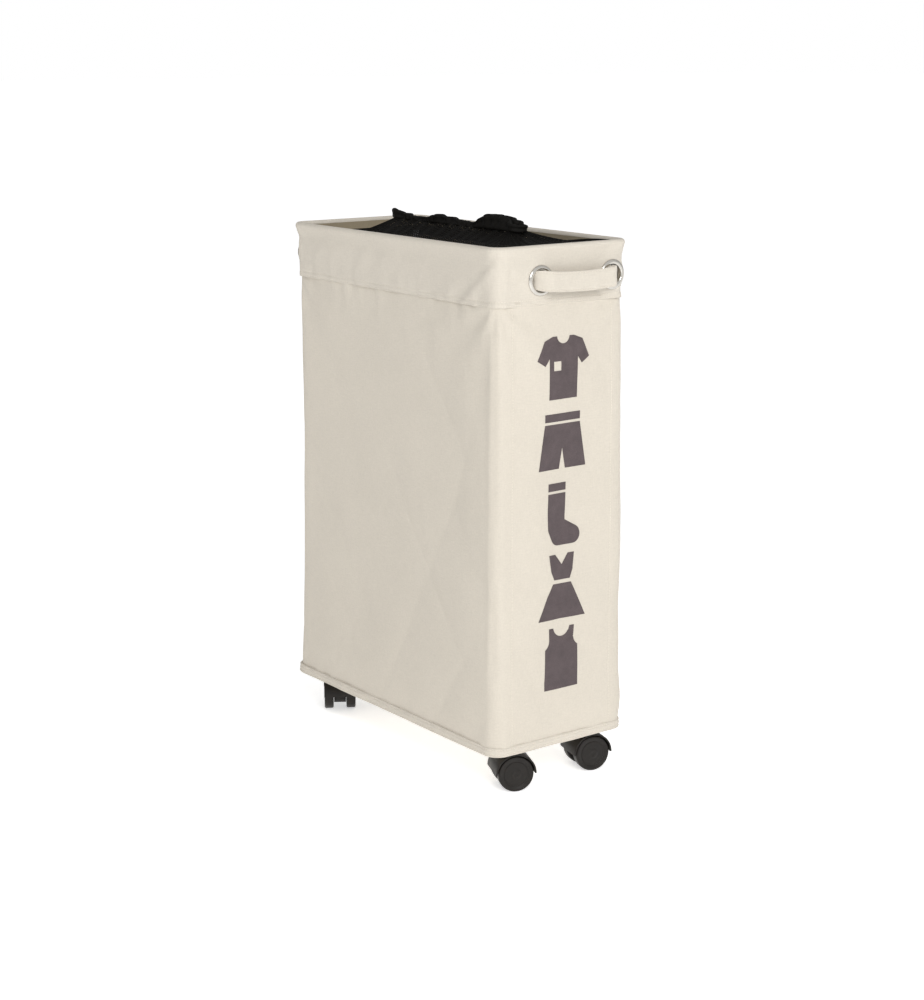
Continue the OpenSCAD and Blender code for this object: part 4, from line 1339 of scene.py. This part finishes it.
def make_print():
    """The five printed garments, lying on the end wall's folds"""
    obj = frame_copy("garment_print", "printed_garments", material("printed_ink"), 3 * MM, (1, 2))
    mesh = obj.data
    co = np.zeros(len(mesh.vertices) * 3)
    mesh.vertices.foreach_get("co", co)
    co = co.reshape(-1, 3)
    face_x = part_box("garment_print")[1].x
    front = co[:, 0] > face_x - 0.1 * MM
    s = co[:, 1] + FLAT_Y
    inset = wall_in(s, co[:, 2])
    co[:, 0] = RIM_X - inset + np.where(front, 0.28 * MM, -0.5 * MM)
    mesh.vertices.foreach_set("co", co.ravel())
    layer = mesh.uv_layers.new(name="UVMap")
    loops = np.zeros(len(mesh.loops), int)
    mesh.loops.foreach_get("vertex_index", loops)
    layer.data.foreach_set(
        "uv", np.stack([s[loops], co[loops, 2]], axis=-1).astype(np.float32).ravel())
    mesh.update()
    settle(obj, "bin", "ink", "garment_print")


# ---- castors ----

# Distance from a castor's middle to where a wheel's profile starts
WHEEL_FROM_MIDDLE = 7.9 * MM


def make_wheel(corner, letter):
    """One wheel: a rounded tread, a grooved disc and a small hub, turned about its axle"""
    node = f"{corner}_wheel_{letter}"
    joint = next(j for j in frame["joints"] if j["name"] == f"{node}_spin")
    lo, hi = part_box(node)
    axle = Vector(joint["pos_m"])
    middle = (lo + hi) / 2
    axis = Vector(joint["axis"]).normalized()
    out = axis if (middle - axle).dot(axis) > 0 else -axis
    r = (hi.z - lo.z) / 2 / MM
    profile = ((8.2, 0), (8.2, 2.55), (0, 2.55), (0, 6.0), (0.5, 6.4), (0.5, r - 5.2),
               (0, r - 4.6), (0, r - 1.3), (0.35, r - 0.55), (1.2, r - 0.06), (2.2, r),
               (5.5, r), (8.8, r), (9.9, r - 0.12), (10.6, r - 0.6), (11.0, r - 1.4),
               (11.0, r - 2.6), (10.75, r - 3.0), (10.7, r - 4.9), (10.3, r - 5.4),
               (10.3, r - 6.2), (10.75, r - 6.6), (10.8, 7.2), (10.9, 5.6), (11.2, 5.0),
               (11.35, 4.2), (11.35, 2.6), (11.05, 2.1), (11.0, 0))
    centre = axle + out * WHEEL_FROM_MIDDLE
    obj = turned(node + "_disc", [(a * MM, b * MM) for a, b in profile], centre, out,
                 material("moulded_wheel"), 96)
    settle(obj, node, "wheel_plastic", node)


def make_housing(corner):
    """A castor's hood and web, with its moulded edges rounded"""
    node = f"{corner}_housing"
    obj = frame_copy(node, node + "_shell", material("moulded_hood"))
    round_off = obj.modifiers.new("Rounded edges", "BEVEL")
    round_off.width, round_off.segments = 0.45 * MM, 3
    round_off.limit_method, round_off.angle_limit = "ANGLE", math.radians(38)
    round_off.use_clamp_overlap = True
    made_plain(obj)
    obj.data.shade_smooth()
    obj.data.set_sharp_from_angle(angle=math.radians(30))
    settle(obj, f"{corner}_castor", "castor_plastic", node)


CORNER_NAMES = ("front_left", "front_right", "back_left", "back_right")


def finish_frame():
    """Materials for the CAD nodes that stay: frame, base, screws, washers, stems and axles"""
    looks = {"top_hoop": "coated_steel", "post_caps": "foot_plastic",
             "base_board": "pressed_hardboard", "foot_screws": "plated_zinc",
             "eyelet_washers": "plated_nickel"}
    for corner in CORNER_NAMES:
        looks[f"{corner}_post"] = "coated_steel"
        looks[f"{corner}_foot"] = "foot_plastic"
        looks[f"{corner}_stem"] = "plated_zinc"
        looks[f"{corner}_axle"] = "plated_zinc"
    for node, look in looks.items():
        mesh = frame["nodes"][node].data
        mesh.materials.clear()
        mesh.materials.append(material(look))


# ---- stage ----

def soft_light(name, place, power, target):
    """A square area light aimed at a point"""
    data = bpy.data.lights.new(name, "AREA")
    data.shape, data.size, data.size_y = "RECTANGLE", LIGHT_SIZE, LIGHT_SIZE
    data.energy = power
    obj = linked(name, data)
    obj.location = place
    aim = Vector(target) - Vector(place)
    obj.rotation_euler = aim.to_track_quat("-Z", "Y").to_euler()


def studio_walls(tree, strength, lean):
    """Even light all round that is stronger from the end wall's side; the camera sees white"""
    add, link = tree.nodes.new, tree.links.new
    glow = tree.nodes["Background"]
    glow.inputs["Color"].default_value = (1.0, 1.0, 1.0, 1)
    way, split = add("ShaderNodeTexCoord"), add("ShaderNodeSeparateXYZ")
    path = add("ShaderNodeLightPath")
    slope, floor, pick = (add("ShaderNodeMath") for _ in range(3))
    slope.operation, floor.operation, pick.operation = "MULTIPLY_ADD", "MAXIMUM", "MAXIMUM"
    slope.inputs[1].default_value, slope.inputs[2].default_value = lean, strength
    floor.inputs[1].default_value = 0.12
    link(way.outputs["Generated"], split.inputs[0])
    link(split.outputs[0], slope.inputs[0])
    link(slope.outputs[0], floor.inputs[0])
    link(floor.outputs[0], pick.inputs[0])
    link(path.outputs["Is Camera Ray"], pick.inputs[1])
    link(pick.outputs[0], glow.inputs["Strength"])


CAMERA_PLACE = (1.8347, -1.3479, 0.8067)
CAMERA_AIM = (-0.7910, 0.5866, -0.1736)
CAMERA_LENS, CAMERA_SENSOR, CAMERA_SHIFT = 72.58, 36.0, -0.10087
FLOOR_HALF = 40


def make_stage():
    """Pale floor, soft studio light and the camera"""
    scene = bpy.context.scene
    light = scene.bin_stage
    floor = new_mesh(
        "floor", [(x * FLOOR_HALF, y * FLOOR_HALF, 0)
                  for x, y in ((-1, -1), (1, -1), (1, 1), (-1, 1))],
        [(0, 1, 2, 3)], floor_material())
    world = bpy.data.worlds.new("studio")
    world.use_nodes = True
    studio_walls(world.node_tree, light.sky, light.lean)
    scene.world = world
    scene.view_settings.view_transform = "Standard"
    scene.view_settings.look = "None"
    soft_light("key_light", (2.4, -1.1, 1.7), light.key, (0.1, 0, 0.35))
    soft_light("fill_light", (-2.3, -1.1, 1.9), light.fill, (0, 0, 0.35))
    data = bpy.data.cameras.new("picture_camera")
    data.lens, data.sensor_width, data.sensor_fit = CAMERA_LENS, CAMERA_SENSOR, "AUTO"
    data.shift_y = CAMERA_SHIFT
    camera = linked("picture_camera", data)
    camera.location = CAMERA_PLACE
    camera.rotation_mode = "QUATERNION"
    camera.rotation_quaternion = Vector(CAMERA_AIM).to_track_quat("-Z", "Y")
    scene.camera = camera


def floor_material():
    """Almost white ground that glows a little, so the bin's shadow stays faint"""
    m = Nodes("pale_floor")
    m.tone((0.97, 0.97, 0.97), m.spread(m.noise(m.place(), 3.0), 0.99, 1.01))
    m.set(Roughness=0.9, Specular_IOR_Level=0.1, Emission_Color=(1.0, 1.0, 1.0, 1.0),
          Emission_Strength=0.56)
    return m.material


# ---- add-on ----

class BinOperator:
    """Shared by the bin's operators: builds one group of pieces"""
    bl_options = {"REGISTER", "UNDO"}

    def execute(self, context):
        self.build()
        return {"FINISHED"}


class BIN_OT_stage(BinOperator, bpy.types.Operator):
    """Set up the floor, the light and the camera"""
    bl_idname, bl_label = "laundry_bin.stage", "Stage"
    build = staticmethod(make_stage)


class BIN_OT_walls(BinOperator, bpy.types.Operator):
    """Make the bag's canvas wall"""
    bl_idname, bl_label = "laundry_bin.walls", "Bag Walls"
    build = staticmethod(make_walls)


class BIN_OT_cuff(BinOperator, bpy.types.Operator):
    """Make the turned-over cuff with its eyelet holes"""
    bl_idname, bl_label = "laundry_bin.cuff", "Cuff"
    build = staticmethod(make_cuff)


class BIN_OT_hem(BinOperator, bpy.types.Operator):
    """Make the hem welt and the cloth under the base"""
    bl_idname, bl_label = "laundry_bin.hem", "Hem and Floor Cloth"

    def build(self):
        make_hem()
        make_floor_cloth()


class BIN_OT_tunnels(BinOperator, bpy.types.Operator):
    """Make the cloth tunnels round the posts"""
    bl_idname, bl_label = "laundry_bin.tunnels", "Post Tunnels"
    build = staticmethod(make_tunnels)


class BIN_OT_net(BinOperator, bpy.types.Operator):
    """Make the net top and its edge tape"""
    bl_idname, bl_label = "laundry_bin.net", "Net Top"
    build = staticmethod(make_net)


class BIN_OT_ruffle(BinOperator, bpy.types.Operator):
    """Make the gathered band round the mouth"""
    bl_idname, bl_label = "laundry_bin.ruffle", "Mouth Ruffle"
    build = staticmethod(make_ruffle)


class BIN_OT_eyelets(BinOperator, bpy.types.Operator):
    """Make the domed eyelets"""
    bl_idname, bl_label = "laundry_bin.eyelets", "Eyelets"
    build = staticmethod(make_eyelets)


class BIN_OT_straps(BinOperator, bpy.types.Operator):
    """Make the two strap handles with their stitches"""
    bl_idname, bl_label = "laundry_bin.straps", "Handles"

    def build(self):
        for side, body in ENDS:
            make_strap(side, body)
            make_strap_stitches(side, body)


class BIN_OT_stitches(BinOperator, bpy.types.Operator):
    """Sew the cuff, the hem and the post seams"""
    bl_idname, bl_label = "laundry_bin.stitches", "Seam Stitches"
    build = staticmethod(make_stitches)


class BIN_OT_print(BinOperator, bpy.types.Operator):
    """Lay the printed garments on the end wall"""
    bl_idname, bl_label = "laundry_bin.print", "Garment Print"
    build = staticmethod(make_print)


class BIN_OT_castors(BinOperator, bpy.types.Operator):
    """Make the castors' wheels and hoods"""
    bl_idname, bl_label = "laundry_bin.castors", "Castors"

    def build(self):
        for corner in CORNER_NAMES:
            make_housing(corner)
            for letter in "ab":
                make_wheel(corner, letter)


class BIN_OT_frame_finish(BinOperator, bpy.types.Operator):
    """Give the frame, base, screws and pins their materials"""
    bl_idname, bl_label = "laundry_bin.frame_finish", "Frame Finishes"
    build = staticmethod(finish_frame)


OPERATORS = (BIN_OT_stage, BIN_OT_walls, BIN_OT_cuff, BIN_OT_hem, BIN_OT_tunnels, BIN_OT_net,
             BIN_OT_ruffle, BIN_OT_eyelets, BIN_OT_straps, BIN_OT_stitches, BIN_OT_print,
             BIN_OT_castors, BIN_OT_frame_finish)
SETTINGS = {"bin_bag": BagSettings, "bin_net": NetSettings, "bin_finish": FinishSettings,
            "bin_stage": StageSettings}


class BIN_PT_panel(bpy.types.Panel):
    """Lists the bin's settings and operators"""
    bl_label = "Laundry Bin"
    bl_idname = "BIN_PT_panel"
    bl_space_type = "VIEW_3D"
    bl_region_type = "UI"
    bl_category = "Laundry Bin"

    def draw(self, context):
        for group, kind in SETTINGS.items():
            box = self.layout.box()
            for key in kind.__annotations__:
                box.prop(getattr(context.scene, group), key)
        for operator in OPERATORS:
            self.layout.operator(operator.bl_idname)


def register():
    for kind in (*SETTINGS.values(), *OPERATORS, BIN_PT_panel):
        bpy.utils.register_class(kind)
    for name, kind in SETTINGS.items():
        setattr(bpy.types.Scene, name, bpy.props.PointerProperty(type=kind))


def unregister():
    for name in SETTINGS:
        delattr(bpy.types.Scene, name)
    for kind in (BIN_PT_panel, *OPERATORS[::-1], *SETTINGS.values()):
        bpy.utils.unregister_class(kind)


def main():
    register()
    for operator in OPERATORS:
        group, name = operator.bl_idname.split(".")
        getattr(getattr(bpy.ops, group), name)()


if __name__ == "__main__":
    main()
